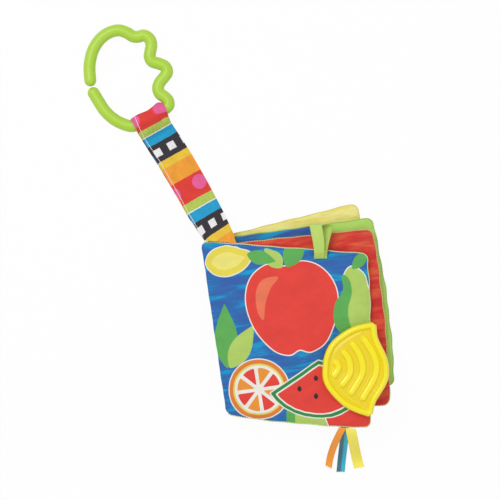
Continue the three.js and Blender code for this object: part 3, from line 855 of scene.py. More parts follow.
def orchard_picture() -> Picture:
    """Draws the front cover: apple, lemon, orange slice, melon wedge, plum and pear."""
    outlines = {
        "apple": blob(
            (60, -30), (46, -27), (32, -36), (26, -54), (30, -76), (42, -94), (54, -100),
            (63, -97), (72, -100), (85, -93), (95, -74), (98, -54), (90, -36), (76, -28),
        ),
        "shine": blob((42, -38), (35, -47), (34, -62), (38, -70), (41, -58), (47, -46), (54, -38)),
        "lemon": blob(
            (-2, -18), (4, -10), (16, -7), (27, -11), (36, -17), (28, -27), (14, -31), (3, -27)
        ),
        "orange": disc(26, -124, 24),
        "pear": blob(
            (113, -38), (106, -44), (104, -56), (97, -66), (95, -80), (104, -92), (118, -94),
            (130, -86), (133, -72), (125, -60), (122, -46),
        ),
        "pear_shade": blob(
            (104, -44), (103, -56), (95, -66), (93, -82), (103, -95), (114, -95), (106, -86),
            (105, -72), (110, -58), (109, -47),
        ),
        "melon": pie(76, -108, 0.0, 46, 206, 128),
        "lawn": blob(
            (44, -190), (43, -160), (47, -138), (58, -120), (78, -108), (100, -104),
            (124, -99), (150, -106), (150, -190),
        ),
        "plum": disc(108, -151, 33),
        "leaf_a": leaflet(62, -31, 58, 31, 16),
        "leaf_b": leaflet(58, -31, 122, 22, 13),
        "leaf_c": leaflet(113, -40, 40, 22, 9),
        "leaf_d": leaflet(32, -16, -22, 24, 12),
        "leaf_e": leaflet(3, -104, 84, 52, 20),
        "leaf_f": leaflet(5, -104, 52, 40, 17),
    }
    layers: list[Layer] = []
    layers += [Layer("lawn", 0.0, GREEN), Layer("lawn", -7.0, LIME)]
    layers += [Layer("leaf_e", 0.0, GREEN), Layer("leaf_f", 0.0, LIME)]
    layers += outlined("apple", RED)
    layers += [Layer("shine", 0.0, CORAL)]
    layers += [Layer("leaf_a", 0.0, GREEN), Layer("leaf_b", 0.0, LIME)]
    layers += outlined("lemon", "#E9DA52") + (Layer("lemon", -5.0, "#F2E77C"),)
    layers += [Layer("leaf_d", 0.0, GREEN)]
    layers += outlined("pear", LIME)
    layers += [Layer("pear_shade", 0.0, GREEN), Layer("leaf_c", 0.0, GREEN)]
    layers += outlined("orange", ORANGE)
    layers += [Layer("orange", -3.2, YELLOW), Layer("orange", -4.6, CREAM)]
    for k in range(8):
        outlines[f"segment_{k}"] = pie(26, -124, 2.6, 17.6, 45 * k + 4, 37)
        layers += [Layer(f"segment_{k}", -0.3, AMBER if k % 2 else RED)]
    layers += outlined("plum", RED)
    layers += outlined("melon", RIND)
    layers += [Layer("melon", -2.6, CREAM), Layer("melon", -3.8, RED)]
    for k, (x, y) in enumerate(((58, -128), (70, -136), (72, -122), (84, -132), (88, -121))):
        outlines[f"seed_{k}"] = blob((x, y + 2.8), (x + 1.8, y), (x, y - 2.2), (x - 1.8, y))
        layers += [Layer(f"seed_{k}", 0.0, BLACK)]
    return Picture(outlines, tuple(layers))


def blossom_picture(petal: str, heart: str, leaf: str) -> Picture:
    """Draws three flowers with leaves.

    Args:
        petal: the petals' colour.
        heart: the colour of each flower's middle.
        leaf: the leaves' colour.

    Returns:
        The picture.
    """
    outlines: dict[str, Points] = {}
    layers: list[Layer] = []
    for k, (x, y, radius) in enumerate(((44, -52, 26), (84, -96, 27), (36, -116, 17))):
        outlines[f"leaf_{k}"] = leaflet(x, y, 35 + 70 * k, radius * 1.75, radius * 0.6)
        outlines[f"petals_{k}"] = blossom(x, y, radius, 6, 0.34)
        outlines[f"heart_{k}"] = disc(x, y, radius * 0.32)
        layers += [Layer(f"leaf_{k}", 0.0, leaf)]
        layers += outlined(f"petals_{k}", petal)
        layers += [Layer(f"heart_{k}", 0.0, heart)]
    return Picture(outlines, tuple(layers))


def meadow_picture(disc_color: str, ray: str, hill: str) -> Picture:
    """Draws a sun over two hills.

    Args:
        disc_color: the sun's colour.
        ray: the colour of its rays.
        hill: the hills' colour.

    Returns:
        The picture.
    """
    outlines = {
        "sun": disc(70, -52, 20),
        "rays": blossom(70, -52, 34, 12, 0.4),
        "hill_a": blob(
            (4, -126), (26, -104), (54, -102), (80, -116), (84, -132), (44, -137), (10, -136)
        ),
        "hill_b": blob((66, -130), (86, -106), (108, -100), (130, -112), (132, -130), (100, -137)),
    }
    layers = [Layer("rays", 0.0, ray), *outlined("sun", disc_color)]
    layers += [*outlined("hill_b", hill), *outlined("hill_a", hill)]
    return Picture(outlines, tuple(layers))


def lake_picture() -> Picture:
    """Draws the blue page's green shore and a round island."""
    outlines = {
        "shore": np.array([
            (95.0, 20.0), (97.0, -40.0), (92.0, -90.0),
            (96.0, -160.0), (190.0, -160.0), (190.0, 20.0),
        ]),
        "island": blob(
            (30, -92), (44, -74), (66, -70), (84, -82), (90, -98), (70, -106), (44, -104)
        ),
        "boat": blob((34, -36), (44, -48), (66, -50), (80, -46), (86, -34), (60, -38)),
    }
    layers = [Layer("shore", 0.0, "#B2DA68")]
    layers += [*outlined("island", GREEN), *outlined("boat", RED)]
    return Picture(outlines, tuple(layers))


PLAIN = Picture({}, ())


# The leaves


class Side(Enum):
    """The two faces of a leaf, and which way each one looks."""

    FRONT = 1
    BACK = -1


@dataclass(frozen=True)
class LeafShape:
    """How a leaf hangs: its edges' reach, sag and bow, its top's slip, as shares of its width."""

    top: float
    bottom: float
    top_sag: float
    bottom_sag: float
    right: float
    below: float
    low: float = 0.0


@dataclass(frozen=True)
class Crease:
    """A shallow crease that runs out from the spine, in shares of the leaf."""

    start: float
    slant: float
    width: float
    reach: float


@dataclass(frozen=True)
class Settling:
    """How a cloth face settles when the leaf is stuffed.

    growth is how much wider the cloth is cut than its place; it gathers at the seam.
    """

    growth: float = 0.03
    pressure: float = 4.0
    bending: float = 0.4
    frames: int = 20
    enlarged: float = 20.0

    def run(
        self, piece: Piece, pinned: Points, up: Points | float, down: float, side: float
    ) -> None:
        """Simulates a face whose rim is sewn down, and moves it by what is allowed.

        Args:
            piece: the face.
            pinned: which vertices are sewn down.
            up: the most that a point may rise, in metres, for all points or for each one.
            down: the most that it may sink.
            side: 1 where the face looks up and -1 where it looks down.
        """
        Bench.alone(piece)
        bpy.ops.object.duplicate()
        model = bpy.context.object
        start = Bench.points(model)
        middle = start.mean(0)
        Bench.move(model, (start - middle) * self.enlarged)
        rim = model.vertex_groups.new(name="rim")
        rim.add([int(i) for i in np.flatnonzero(pinned)], 1.0, "REPLACE")
        modifier = model.modifiers.new("Cloth", "CLOTH")
        settings = {
            "quality": 5,
            "mass": 0.25,
            "tension_stiffness": 20,
            "compression_stiffness": 20,
            "shear_stiffness": 8,
            "bending_stiffness": self.bending,
            "shrink_min": -self.growth,
            "vertex_group_mass": "rim",
            "use_pressure": True,
            "uniform_pressure_force": self.pressure,
        }
        for name, value in settings.items():
            setattr(modifier.settings, name, value)
        modifier.settings.effector_weights.gravity = 0
        modifier.collision_settings.use_collision = False
        modifier.point_cache.frame_start = 1
        modifier.point_cache.frame_end = self.frames
        scene = bpy.context.scene
        for number in range(1, self.frames + 1):
            scene.frame_set(number)
        bpy.ops.object.modifier_apply(modifier=modifier.name)
        moved = Bench.points(model) / self.enlarged + middle - start
        bpy.data.objects.remove(model)
        scene.frame_set(1)
        rise = moved[:, 2] * side
        low, high = np.percentile(rise, 2), np.percentile(rise, 98)
        level = (rise - low) / max(high - low, 1e-9)
        moved[:, 2] = side * np.clip(-down + level * (up + down), -down, up)
        sideways = np.linalg.norm(moved[:, :2], axis=1)
        limit = np.minimum(1.0, up / np.maximum(sideways, 1e-9))
        moved[:, :2] *= limit[:, None]
        moved[pinned] = 0
        Bench.move(piece, start + moved)


@dataclass(frozen=True)
class Leaf:
    """One stuffed leaf, sewn round its edge: two printed faces over film and batting."""

    name: str
    level: int
    shape: LeafShape
    fronts: tuple[str, str]
    pictures: tuple[Picture, Picture]
    grounds: tuple[tuple[str, str, str], tuple[str, str, str]]
    thread: tuple[str, str]
    divisions: int = 48
    top_rise: float = 0.15
    held_down: tuple[tuple[str, float, float], ...] = ()
    held_fade: float = 9.0
    width: float = 140.0
    height: float = 141.0
    thickness: float = 5.5
    seam: float = 1.7
    rim: float = 0.35
    filled_rim: float = 0.85
    clearance: float = 0.15
    puff: float = 0.15
    sink: float = 0.35
    film_depth: float = 1.2
    film_margin: float = 0.03
    film_lumps: float = 6.0
    film_thickness: float = 0.2
    batting_margin: float = 0.04
    batting_lumps: float = 9.0
    batting_drop: float = 0.25
    fill_depths: tuple[float, float] = (1.7, 1.1)
    lump: float = 0.15
    divisions_within: int = 30
    pitch: float = 5.9
    swell: float = 12.0
    corner: float = 5.0
    spine_reach: float = 16.0
    flat_depth: float = 0.5
    fold_depth: float = 0.6
    fan_degrees: float = 0.5
    lean_degrees: float = 8.4
    cloth: float = 0.5
    fold_drop: float = 2.4
    fold_reach: float = 3.3
    spine_gap: float = 0.3
    crowding: float = 0.62
    edge_radius: float = 0.55
    edge_step: float = 0.5
    ruffle: float = 0.3
    ruffle_lengths: tuple[tuple[float, float], ...] = ((3.1, 7.3), (3.4, 8.1))
    edge_lap: float = 2.0
    lap_depth: float = 0.22
    creases: tuple[Crease, ...] = (
        Crease(0.26, 0.3, 0.1, 0.34),
        Crease(0.58, 0.0, 0.1, 0.26),
        Crease(0.88, -0.4, 0.1, 0.36),
    )

    @property
    def is_page(self) -> bool:
        """Tells whether the leaf is one of the two pages that share a fold."""
        return self.level in (1, 2)

    @property
    def is_cover(self) -> bool:
        """Tells whether the leaf is the front cover, which folds over the spine."""
        return self.level == 3

    @property
    def centre_height(self) -> float:
        """Gives the height of the leaf's middle plane over the table, at the spine."""
        return self.thickness / 2 - self.flat_depth + self.level * self.pitch

    @property
    def hinge_height(self) -> float:
        """Gives the height of the joint that the leaf turns on."""
        if self.is_page:
            return self.thickness / 2 - self.flat_depth + 1.5 * self.pitch
        return self.centre_height - (self.fold_drop if self.is_cover else 0.0)

    @property
    def spine_edge(self) -> float:
        """Gives where the leaf starts at the spine."""
        return -self.fold_reach if self.is_cover else self.spine_gap

    @property
    def seam_offset(self) -> float:
        """Gives how far a page's stitching lies from the shared fold."""
        return math.copysign(1.0, self.centre_height - self.hinge_height) if self.is_page else 0.0

    @property
    def right(self) -> Points:
        """Gives the direction across the book, which lies a little askew on the table."""
        lean = math.radians(self.lean_degrees)
        return np.array([math.cos(lean), math.sin(lean), 0.0])

    @property
    def frame(self) -> LocalFrame:
        """Gives the leaf's own frame at its hinge."""
        fan = math.radians(self.fan_degrees * self.level)
        at = JOINTS["page_two_turn"]["pos_m"]
        x = self.right * math.cos(fan) + np.array([0, 0, math.sin(fan)])
        return frame_of((at[0], at[1], self.hinge_height * MM), x, UP)

    def middle(self, x: Points) -> Points:
        """Gives the height of the middle plane over the hinge."""
        body = self.centre_height - self.hinge_height
        return self.seam_offset + (body - self.seam_offset) * smooth(x / self.spine_reach)

    def plan(self, a: Points, b: Points) -> tuple[Points, Points]:
        """Lays out a point of the leaf.

        Args:
            a: its share from the spine to the free edge.
            b: its share from the bottom to the top.

        Returns:
            Its place in the leaf's plane, in millimetres from the top of the spine.
        """
        s = self.shape
        dx, dy = np.minimum(a, 1 - a) * self.width, np.minimum(b, 1 - b) * self.height
        px, py = self.corner - dx, self.corner - dy
        near = (px > 0) & (py > 0)
        pull = np.where(near, np.maximum(px, py) / np.maximum(np.hypot(px, py), 1e-9), 1.0)
        inset_x = (self.corner - px * pull) / self.width
        inset_y = (self.corner - py * pull) / self.height
        u = np.where(near, np.where(a < 0.5, inset_x, 1 - inset_x), a)
        v = np.where(near, np.where(b < 0.5, inset_y, 1 - inset_y), b)
        reach = self.width * (s.bottom + (s.top - s.bottom) * v + s.right * 4 * v * (1 - v))
        sag = self.width * (s.bottom_sag + (s.top_sag - s.bottom_sag) * v)
        belly = self.width * s.below * 4 * u * (1 - u) * (1 - v)
        slip = self.width * s.low * v * (1 - u)
        x = self.spine_edge + (reach - self.spine_edge) * u
        y = self.height * (v - 1) - sag * u - belly - slip
        phase = 1.7 * self.level
        wave_x, wave_y = (
            np.sin(along / short + phase) + 0.8 * np.sin(along / long + 2 * phase)
            for along, (short, long) in zip((y, x), self.ruffle_lengths)
        )
        return x + self.ruffle * u**4 * wave_x, y + 0.6 * self.ruffle * (2 * v - 1) ** 3 * wave_y

    def half(self, a: Points, b: Points, rim: float) -> Points:
        """Gives half of the leaf's thickness, which is rim at its sewn edge."""

        def rise(distance: Points) -> Points:
            """Swells up from an edge."""
            left = 1 - np.clip(distance / self.swell, 0, 1)
            return np.sqrt(np.maximum(1 - left * left, 0))

        across = rise(np.minimum(a, 1 - a) * self.width)
        along = rise(np.minimum(b, 1 - b) * self.height)
        crease = np.zeros_like(a)
        for c in self.creases:
            off = (b - c.start - c.slant * a) / c.width
            crease += self.fold_depth * np.exp(-off * off) * np.exp(-((a / c.reach) ** 2))
        half = rim + (self.thickness / 2 - crease - rim) * across * along
        if self.is_page:
            half = np.minimum(half, np.abs(self.middle(self.plan(a, b)[0])) - self.clearance)
        return half

    def shares(self, divisions: int) -> Points:
        """Gives grid lines that lie closer together near the leaf's edges."""
        even = np.linspace(0.0, 1.0, divisions + 1)
        return even - self.crowding * np.sin(TAU * even) / TAU

    def face(self, side: Side) -> Piece:
        """Models one printed face, from rim to rim.

        Args:
            side: which face.

        Returns:
            The face, closed and with its cloth's thickness, in place.
        """
        share = self.shares(self.divisions)
        name = f"{self.name}_{side.name.lower()}_print"
        piece, i, j = Bench.grid(name, self.divisions, self.divisions)
        a, b = share[i], share[j]
        x, y = self.plan(a, b)
        height = self.half(a, b, self.rim)
        grounded = side is Side.BACK and self.level == 0
        if grounded:
            height = np.minimum(height, self.thickness / 2 - self.flat_depth)
        z = self.middle(x) + side.value * height
        Bench.move(piece, self.frame.place(np.stack([x, y, z], 1)))
        if side is Side.BACK:
            Bench.edit(piece, bpy.ops.mesh.flip_normals)
        rim = (i == 0) | (i == self.divisions) | (j == 0) | (j == self.divisions)
        is_top = self.is_cover and side is Side.FRONT
        rise = self.free_rise(x, y) if is_top else (0.0 if grounded else self.puff)
        Settling().run(piece, rim, rise * MM, self.sink * MM, side.value)
        Bench.write_value(piece, "flat_x", x)
        Bench.write_value(piece, "flat_y", y)
        Bench.apply(piece, "SUBSURF", levels=1, render_levels=1)
        Bench.apply(piece, "SOLIDIFY", thickness=self.cloth * MM, offset=-1.0, use_even_offset=True)
        flat = np.stack([self.take_value(piece, name) for name in ("flat_x", "flat_y")], 1)
        self.print_on(piece, flat, self.pictures[0 if side is Side.FRONT else 1])
        Bench.shade(piece, 60)
        return piece

    def free_rise(self, x: Points, y: Points) -> Points:
        """Gives how far the top cloth may rise: less under what is sewn on it.

        Args:
            x: places in the leaf's plane, in millimetres from the top of the spine.
            y: the same, along the spine.

        Returns:
            The rise in millimetres.
        """
        held = np.zeros_like(x)
        for joint, ahead, reach in self.held_down:
            at = self.frame.read(np.array([JOINTS[joint]["pos_m"]]))[0]
            distance = np.hypot(x - at[0] - ahead, y - at[1])
            held = np.maximum(held, 1 - smooth((distance - reach) / self.held_fade))
        return self.top_rise + (self.puff - self.top_rise) * held

    @staticmethod
    def take_value(piece: Piece, name: str) -> Points:
        """Reads one number for each vertex, and removes it from the mesh."""
        values = np.zeros(len(piece.data.vertices), np.float32)
        attribute = piece.data.attributes[name]
        attribute.data.foreach_get("value", values)
        piece.data.attributes.remove(attribute)
        return values.astype(float)

    @staticmethod
    def print_on(piece: Piece, flat: Points, picture: Picture) -> None:
        """Lays a picture's outlines on a piece as distances, with its UV map."""
        Bench.write_uv(piece, flat, LEAF_UV_ORIGIN)
        for name, outline in picture.outlines.items():
            Bench.write_value(piece, name, signed_distance(flat, outline))

    def rim_line(self) -> Points:
        """Gives the middle of the sewn edge in the leaf's frame, in millimetres."""
        step = np.linspace(0.0, 1.0, 240)
        zero, one = np.zeros_like(step), np.ones_like(step)
        a = np.concatenate([step, one, 1 - step])
        b = np.concatenate([zero, step, one])
        x, y = self.plan(a, b)
        return np.stack([x, y, self.middle(x)], 1)

    def edge(self) -> Piece:
        """Models the overlocked edge: thread lapped round the two cloths."""
        line = spaced(self.rim_line(), self.edge_step)
        piece = Bench.tube(f"{self.name}_edge_thread", [line * MM], self.edge_radius * MM)
        at = Bench.points(piece) / MM
        nearest = [
            np.argmin(np.linalg.norm(part[:, None] - line, axis=2), axis=1)
            for part in np.array_split(at, 16)
        ]
        ring = np.concatenate(nearest)
        off = at - line[ring]
        turn = np.arctan2(off[:, 2], np.hypot(off[:, 0], off[:, 1]) * np.sign(off[:, 0] + 1e-9))
        lap = 0.5 + 0.5 * np.sin(TAU * ring * self.edge_step / self.edge_lap + turn)
        at = line[ring] + off * (1 + self.lap_depth * (lap[:, None] - 0.5))
        Bench.move(piece, self.frame.place(at))
        # lap is 1 on each lap's crest and 0 between them, where the thread material paints shade.
        Bench.write_value(piece, "lap", smooth(lap))
        Bench.shade(piece)
        return piece

    def within(
        self, name: str, margin: float
    ) -> tuple[Piece, Points, Points, Points, Points]:
        """Starts a sheet that lies inside the leaf.

        Args:
            name: the piece's name.
            margin: the share of the leaf that is left free along its edges, twice at a fold.

        Returns:
            A grid, and its vertices' shares of the sheet and of the leaf, both ways.
        """
        piece, i, j = Bench.grid(name, self.divisions_within, self.divisions_within)
        u, v = i / self.divisions_within, j / self.divisions_within
        low = 2 * margin if self.is_page else margin
        return piece, u, v, low + (1 - margin - low) * u, margin + (1 - 2 * margin) * v

    @staticmethod
    def uneven(x: Points, y: Points, size: float, level: float) -> Points:
        """Gives lumps of a size in millimetres, from -1 to 1."""
        return np.array([noise.noise((p / size, q / size, level)) for p, q in zip(x, y)])

    def film(self) -> Piece:
        """Models the crackling film under the front face."""
        piece, _, _, a, b = self.within(f"{self.name}_film", self.film_margin)
        x, y = self.plan(a, b)
        crumple = self.lump * np.clip(2 * self.uneven(x, y, self.film_lumps, self.level), -1, 1)
        z = self.middle(x) + self.half(a, b, self.filled_rim) - self.film_depth + crumple
        Bench.move(piece, self.frame.place(np.stack([x, y, z], 1)))
        Bench.thicken(piece, self.film_thickness, 40, even=False)
        return piece

    def batting(self) -> Piece:
        """Models the sheet of batting that fills the leaf."""
        halves = []
        for side in Side:
            name = f"{self.name}_fill_{side.name}"
            piece, u, v, a, b = self.within(name, self.batting_margin)
            x, y = self.plan(a, b)
            lumps = self.lump * self.uneven(x, y, self.batting_lumps, 7.0 + self.level)
            inner = np.sin(math.pi * u) * np.sin(math.pi * v)
            depth = self.fill_depths[0 if side is Side.FRONT else 1]
            full = self.half(a, b, self.filled_rim) - depth + lumps
            height = np.maximum(full, 0.05) * np.minimum(1.0, 4 * inner)
            z = self.middle(x) - self.batting_drop + side.value * height
            Bench.move(piece, self.frame.place(np.stack([x, y, z], 1)))
            halves.append(piece)
        made = Bench.join(f"{self.name}_fill", halves)
        Bench.merge(made, 0.01 * MM)
        Bench.shade(made)
        return made

    def build(self) -> None:
        """Builds and dresses the leaf."""
        for k, side in enumerate(Side):
            slot = self.fronts[k]
            cloth = PrintedCloth(slot, self.grounds[k], layers=self.pictures[k].layers)
            node = f"{self.name}_{side.name.lower()}_cloth"
            piece = hand_over(self.face(side), self.name, cloth.build(), [node])
        thread = Thread(f"{self.name}_overlock_thread", *self.thread)
        hand_over(self.edge(), self.name, thread.build())
        film = LooseFill("crinkle_film", "#D9DDE0", 0.25, 2.0).build()
        node = f"{self.name}_crinkle_film"
        piece = hand_over(self.film(), self.name, film, [node])
        batting = LooseFill("batting", "#F4F2EC", 0.95, 0.4).build()
        piece = hand_over(self.batting(), self.name, batting, [f"{self.name}_batting"])


@dataclass(frozen=True)
class CoverFold:
    """The front cover's soft fold over the spine, and the strip that closes the spine."""

    cover: Leaf
    radius: float = 0.8
    inner: float = 2.6
    outer: float = 3.3
    cloth: float = 0.5
    end: float = 0.012
    lap: float = 0.5
    waves: tuple[tuple[float, float, float], ...] = ((0.12, 5.3, 0.0), (0.08, 2.1, 1.0))
    gap: float = 0.3
    shorter: float = 5.0

    def roll(self) -> Piece:
        """Models the rolled cloth along the cover's folded edge."""
        step = np.linspace(self.end, 1 - self.end, 200)
        x, y = self.cover.plan(np.zeros_like(step), step)
        wave = sum(high * np.sin(y / long + phase) for high, long, phase in self.waves)
        line = np.stack([x + self.lap + wave, y, self.cover.middle(x)], 1)
        ends = np.minimum(1.0, 0.35 + 30 * np.minimum(step - self.end, 1 - self.end - step))
        piece = Bench.tube("cover_fold_roll", [line * MM], self.radius * MM, ends, roundness=4)
        at = Bench.points(piece) / MM
        Bench.move(piece, self.cover.frame.place(at))
        self.cover.print_on(piece, at[:, :2], self.cover.pictures[0])
        Bench.shade(piece)
        return piece

    def panel(self) -> Piece:
        """Models the strip of cloth that closes the spine."""
        bottom = self.cover.thickness / 2 - self.cover.flat_depth
        top = self.cover.hinge_height - math.hypot(self.outer, self.cover.seam / 2) - self.gap
        middle, bend = -(self.inner + self.outer) / 2, self.outer / 2
        turn = np.linspace(0.0, math.pi / 2, 12)
        arc = np.stack([middle + bend * (1 - np.sin(turn)), bottom + bend * (1 - np.cos(turn))], 1)
        straight = np.stack([np.full(10, middle), np.linspace(bottom + bend + 0.6, top, 10)], 1)
        path = np.concatenate([[[0.0, bottom]], arc, straight])
        here = frame_of((*JOINTS["page_two_turn"]["pos_m"][:2], 0.0), self.cover.right, UP)
        length = self.cover.height - self.shorter

        def place(x: Points, z: Points, share: Points) -> Points:
            """Puts a point of the strip in the row frame."""
            y = -length - self.shorter / 2 + share * length
            ripple = 0.12 * np.sin(y / 4.1) * np.clip((z - bottom) / 8, 0, 1)
            return here.place(np.stack([x + ripple, y, z], 1))

        return strip("spine_strip", path, np.linspace(0, 1, 61), place, self.cloth, length)

    def build(self) -> None:
        """Builds and dresses both."""
        picture = self.cover.pictures[0]
        print_cloth = PrintedCloth("cover_fold_cloth", self.cover.grounds[0], layers=picture.layers)
        hand_over(self.roll(), "front_cover", print_cloth.build())
        plain = PrintedCloth("cover_cloth", ("#2F66AE", BLUE, "#3A80C4"))
        piece = hand_over(self.panel(), "back_cover", plain.build(), ["spine_panel"])


# Strap, link and trims


@dataclass(frozen=True)
class Stitching:
    """A row of sewn stitches, each one a short bowed thread."""

    stitch: float
    pitch: float
    thread: float = 0.42
    step: float = 0.1
    bow: float = 0.34
    dip: float = 0.14

    def row(self, name: str, line: Points, here: LocalFrame) -> Piece:
        """Models the stitches along a line.

        Args:
            name: the piece's name.
            line: points in millimetres, on the cloth's surface.
            here: the line's frame, whose Z axis points off the cloth.

        Returns:
            The stitches as one mesh, in place.
        """
        even = spaced(line, self.step)
        share = np.linspace(0.0, 1.0, 5)
        bow = np.zeros((5, 3))
        bow[:, 2] = self.bow * np.sin(math.pi * share) - self.dip
        threads = []
        for start in np.arange(0.0, self.step * (len(even) - 1) - self.stitch, self.pitch):
            index = ((start + share * self.stitch) / self.step).astype(int)
            threads.append((even[index] + bow) * MM)
        piece = Bench.tube(name, threads, self.thread / 2 * MM, roundness=1)
        Bench.put(piece, here)
        # every stitch takes the thread's full colour, with no painted shade
        Bench.write_value(piece, "lap", np.ones(len(piece.data.vertices)))
        Bench.shade(piece)
        return piece


@dataclass(frozen=True)
class Strap:
    """The strap: one length of webbing, doubled, and looped round the link's rod."""

    length: float = 115.0
    width: float = 33.0
    loop_width: float = 26.8
    flat_width: float = 28.0
    cad_cloth: float = 1.1
    cloth: float = 0.95
    fit: float = 0.3
    tack: float = 99.0
    drape: float = 46.0
    arch: float = 0.9
    turn_degrees: float = 34.0
    rod: float = 9.8
    clearance: float = 0.5
    nose: float = 1.5
    lower_shift: float = -0.8
    gathered: float = 0.5
    pucker: float = 0.75
    pucker_at: float = 6.5
    pucker_reach: float = 2.6
    ripple: float = 0.22
    folds: tuple[tuple[float, float, float], ...] = (
        (0.9, 0.34, 0.1), (-0.6, 0.02, 0.13), (0.4, -0.3, 0.12),
    )
    edges: tuple[tuple[float, float, float], ...] = (
        (0.0, -0.4, 0.39), (8.0, -0.42, 0.45), (25.0, -0.455, 0.5), (50.0, -0.46, 0.53),
        (75.0, -0.485, 0.53), (90.0, -0.52, 0.5), (103.0, -0.54, 0.465), (110.0, -0.55, 0.5),
        (120.0, -0.54, 0.56),
    )

    @property
    def drop(self) -> float:
        """Gives the seam's height over the table."""
        return JOINTS["strap_swing"]["pos_m"][2] / MM

    @property
    def frame(self) -> LocalFrame:
        """Gives the strap's frame, at its hinge."""
        return frame_at("strap_swing")

    def centre(self, s: Points) -> Points:
        """Gives the height of the middle between the two layers."""
        total = 2 * self.cad_cloth + self.fit
        return -(self.drop - total / 2) * smooth(s / self.drape)

    def path(self) -> tuple[Points, Points, Points]:
        """Lays out the strap's line.

        Returns:
            The points (along, up), the length along the print, and 1 on the lower layer.
        """
        layer = (self.cad_cloth + self.fit) / 2
        s = np.concatenate([[-self.nose], np.linspace(0.0, self.tack, 84)])
        upper = np.stack([s, self.centre(s) + layer], 1)
        rod_height = self.rod / 2 + self.clearance + self.cad_cloth
        middle = np.array([self.length, rod_height - self.drop])
        radius = self.rod / 2 + self.clearance + self.cad_cloth / 2
        to_tack = upper[-1] - middle
        start = math.atan2(to_tack[1], to_tack[0]) % TAU
        start -= math.acos(radius / np.linalg.norm(to_tack))
        angles = np.linspace(start, -math.pi / 2, 44)
        arc = middle + radius * np.stack([np.cos(angles), np.sin(angles)], 1)
        run = np.linspace(0.0, 1.0, 10)[1:-1, None]
        climb = upper[-1] + (arc[0] - upper[-1]) * run
        lower = np.stack([s[::-1], self.centre(s[::-1]) - layer], 1)
        back = arc[-1] + (lower[0] - arc[-1]) * run
        path = np.concatenate([upper, climb, arc, back, lower])
        lengths = lengths_along(path)
        top = len(upper)
        bottom = top + len(climb) + len(arc) + len(back)
        printed = lengths - lengths[top - 1] + self.tack
        printed[:top] = s
        printed[bottom:] = printed[bottom] + (s[-1] - s[::-1])
        below = np.zeros(len(path))
        below[bottom:] = 1.0
        below[top + len(climb) : bottom] = np.linspace(0, 1, bottom - top - len(climb))
        return path, printed, below

    def place(self, s: Points, z: Points, share: Points, below: Points) -> Points:
        """Puts points of the strap in the row frame.

        Args:
            s: how far each lies from the seam.
            z: its height over the hinge.
            share: its share across the strap.
            below: 1 on the lower layer, which lies a little to the left.

        Returns:
            The points in metres.
        """
        turn = math.radians(self.turn_degrees)
        ahead = np.array([-math.sin(turn), math.cos(turn)])
        loop_across = np.array([math.cos(turn), math.sin(turn)])
        k = np.clip(s / self.tack, 0, 1)
        width = self.width + (self.loop_width - self.width) * k
        across = (1 - k)[:, None] * np.array([1.0, 0.0]) + k[:, None] * loop_across
        along, left, right = np.array(self.edges).T
        low, high = (np.interp(s, along, edge) for edge in (left, right))
        share_here = (low + high) / 2 + share * (high - low)
        span = width * share_here + self.lower_shift * below * smooth(s / 20)
        near_rod = smooth((s - self.tack - 6) / 10)
        uneven = -1.3 * smooth((share - 0.38) / 0.12)
        for reach, at, wide in self.folds:
            uneven = uneven + reach * np.exp(-(((share - at) / wide) ** 2))
        flat = s[:, None] * ahead + span[:, None] * across + (near_rod * uneven)[:, None] * ahead
        settle = smooth((s - self.drape) / (self.tack - self.drape))
        lift = self.arch * smooth(s / self.drape) * (1 - settle)
        off = (s - self.tack - self.pucker_at) / self.pucker_reach
        gather = np.exp(-(off**2)) * (1 - below)
        pucker = self.pucker * gather * (1 + np.cos(share * 34 + 2.2 * np.sin(share * 7)))
        ripple = self.ripple * np.sin(s / 7.3 + 2.2 * share) * smooth(s / 30)
        ripple *= (1 - near_rod) * (1 - below)
        z = z + lift * (1 - 4 * share * share) + pucker + np.maximum(ripple, -0.1)
        return self.frame.place(np.stack([flat[:, 0], flat[:, 1], z], 1))

    def laid_out(self, s: Points, printed: Points, share: Points, below: Points) -> Points:
        """Gives places on the flat webbing, whose bands run square across it.

        Args:
            s: how far each point lies from the seam.
            printed: its length along the print.
            share: its share across the strap.
            below: 1 on the lower layer, which runs back to the seam.

        Returns:
            Across and along, in millimetres.
        """
        turn = math.radians(self.turn_degrees)
        k = np.clip(s / self.tack, 0, 1)
        span = (self.width + (self.loop_width - self.width) * k) * share
        slant = span * (1 - k) * math.sin(turn) * (2 * below - 1)
        taken_up = self.gathered * smooth((printed - self.tack - 4) / 5)
        return np.stack([self.flat_width * share, printed + slant + taken_up], 1)

    def build(self) -> None:
        """Builds and dresses the strap and its stitches."""
        path, printed, below = self.path()
        shares = np.linspace(0.5, -0.5, 37)
        piece, i, j = Bench.grid("strap_webbing_strip", len(path) - 1, len(shares) - 1)
        Bench.move(piece, self.place(path[i, 0], path[i, 1], shares[j], below[i]))
        flat = self.laid_out(path[i, 0], printed[i], shares[j], below[i])
        Bench.write_uv(piece, flat, STRIP_UV_ORIGIN)
        Bench.thicken(piece, self.cloth)
        webbing = PrintedWebbing(
            name="strap_webbing",
            repeat=71.6,
            first=111.1,
            drift=0.035,
            bands=(
                Band(0.0, "#B5CB5A"),
                Band(7.4, "#F4F4EE"),
                Band(8.2, "#1C9FD0"),
                Band(17.0, "#2E2A30"),
                Band(31.9, SUN),
                Band(38.3, "#F3A033"),
                Band(52.6, "#E23B33"),
            ),
            marks=(
                Marks(24.3, 3.2, 12.8, 0.305, "#EDEDED", False),
                Marks(60.7, 6.0, 24.5, 0.169, "#E9609A", True),
            ),
        )
        hand_over(piece, "strap", webbing.build(), ["strap"])
        thread = Thread("strap_thread", "#FBFAF4", "#D5D2C8").build()
        rows = (
            Stitching(3.0, 3.2).row("strap_topstitch", self.topstitch(), self.frame),
            Stitching(2.2, 2.5).row("strap_tack", self.cross(self.tack + 4.4), self.frame),
        )
        for row in rows:
            hand_over(row, "strap", thread)

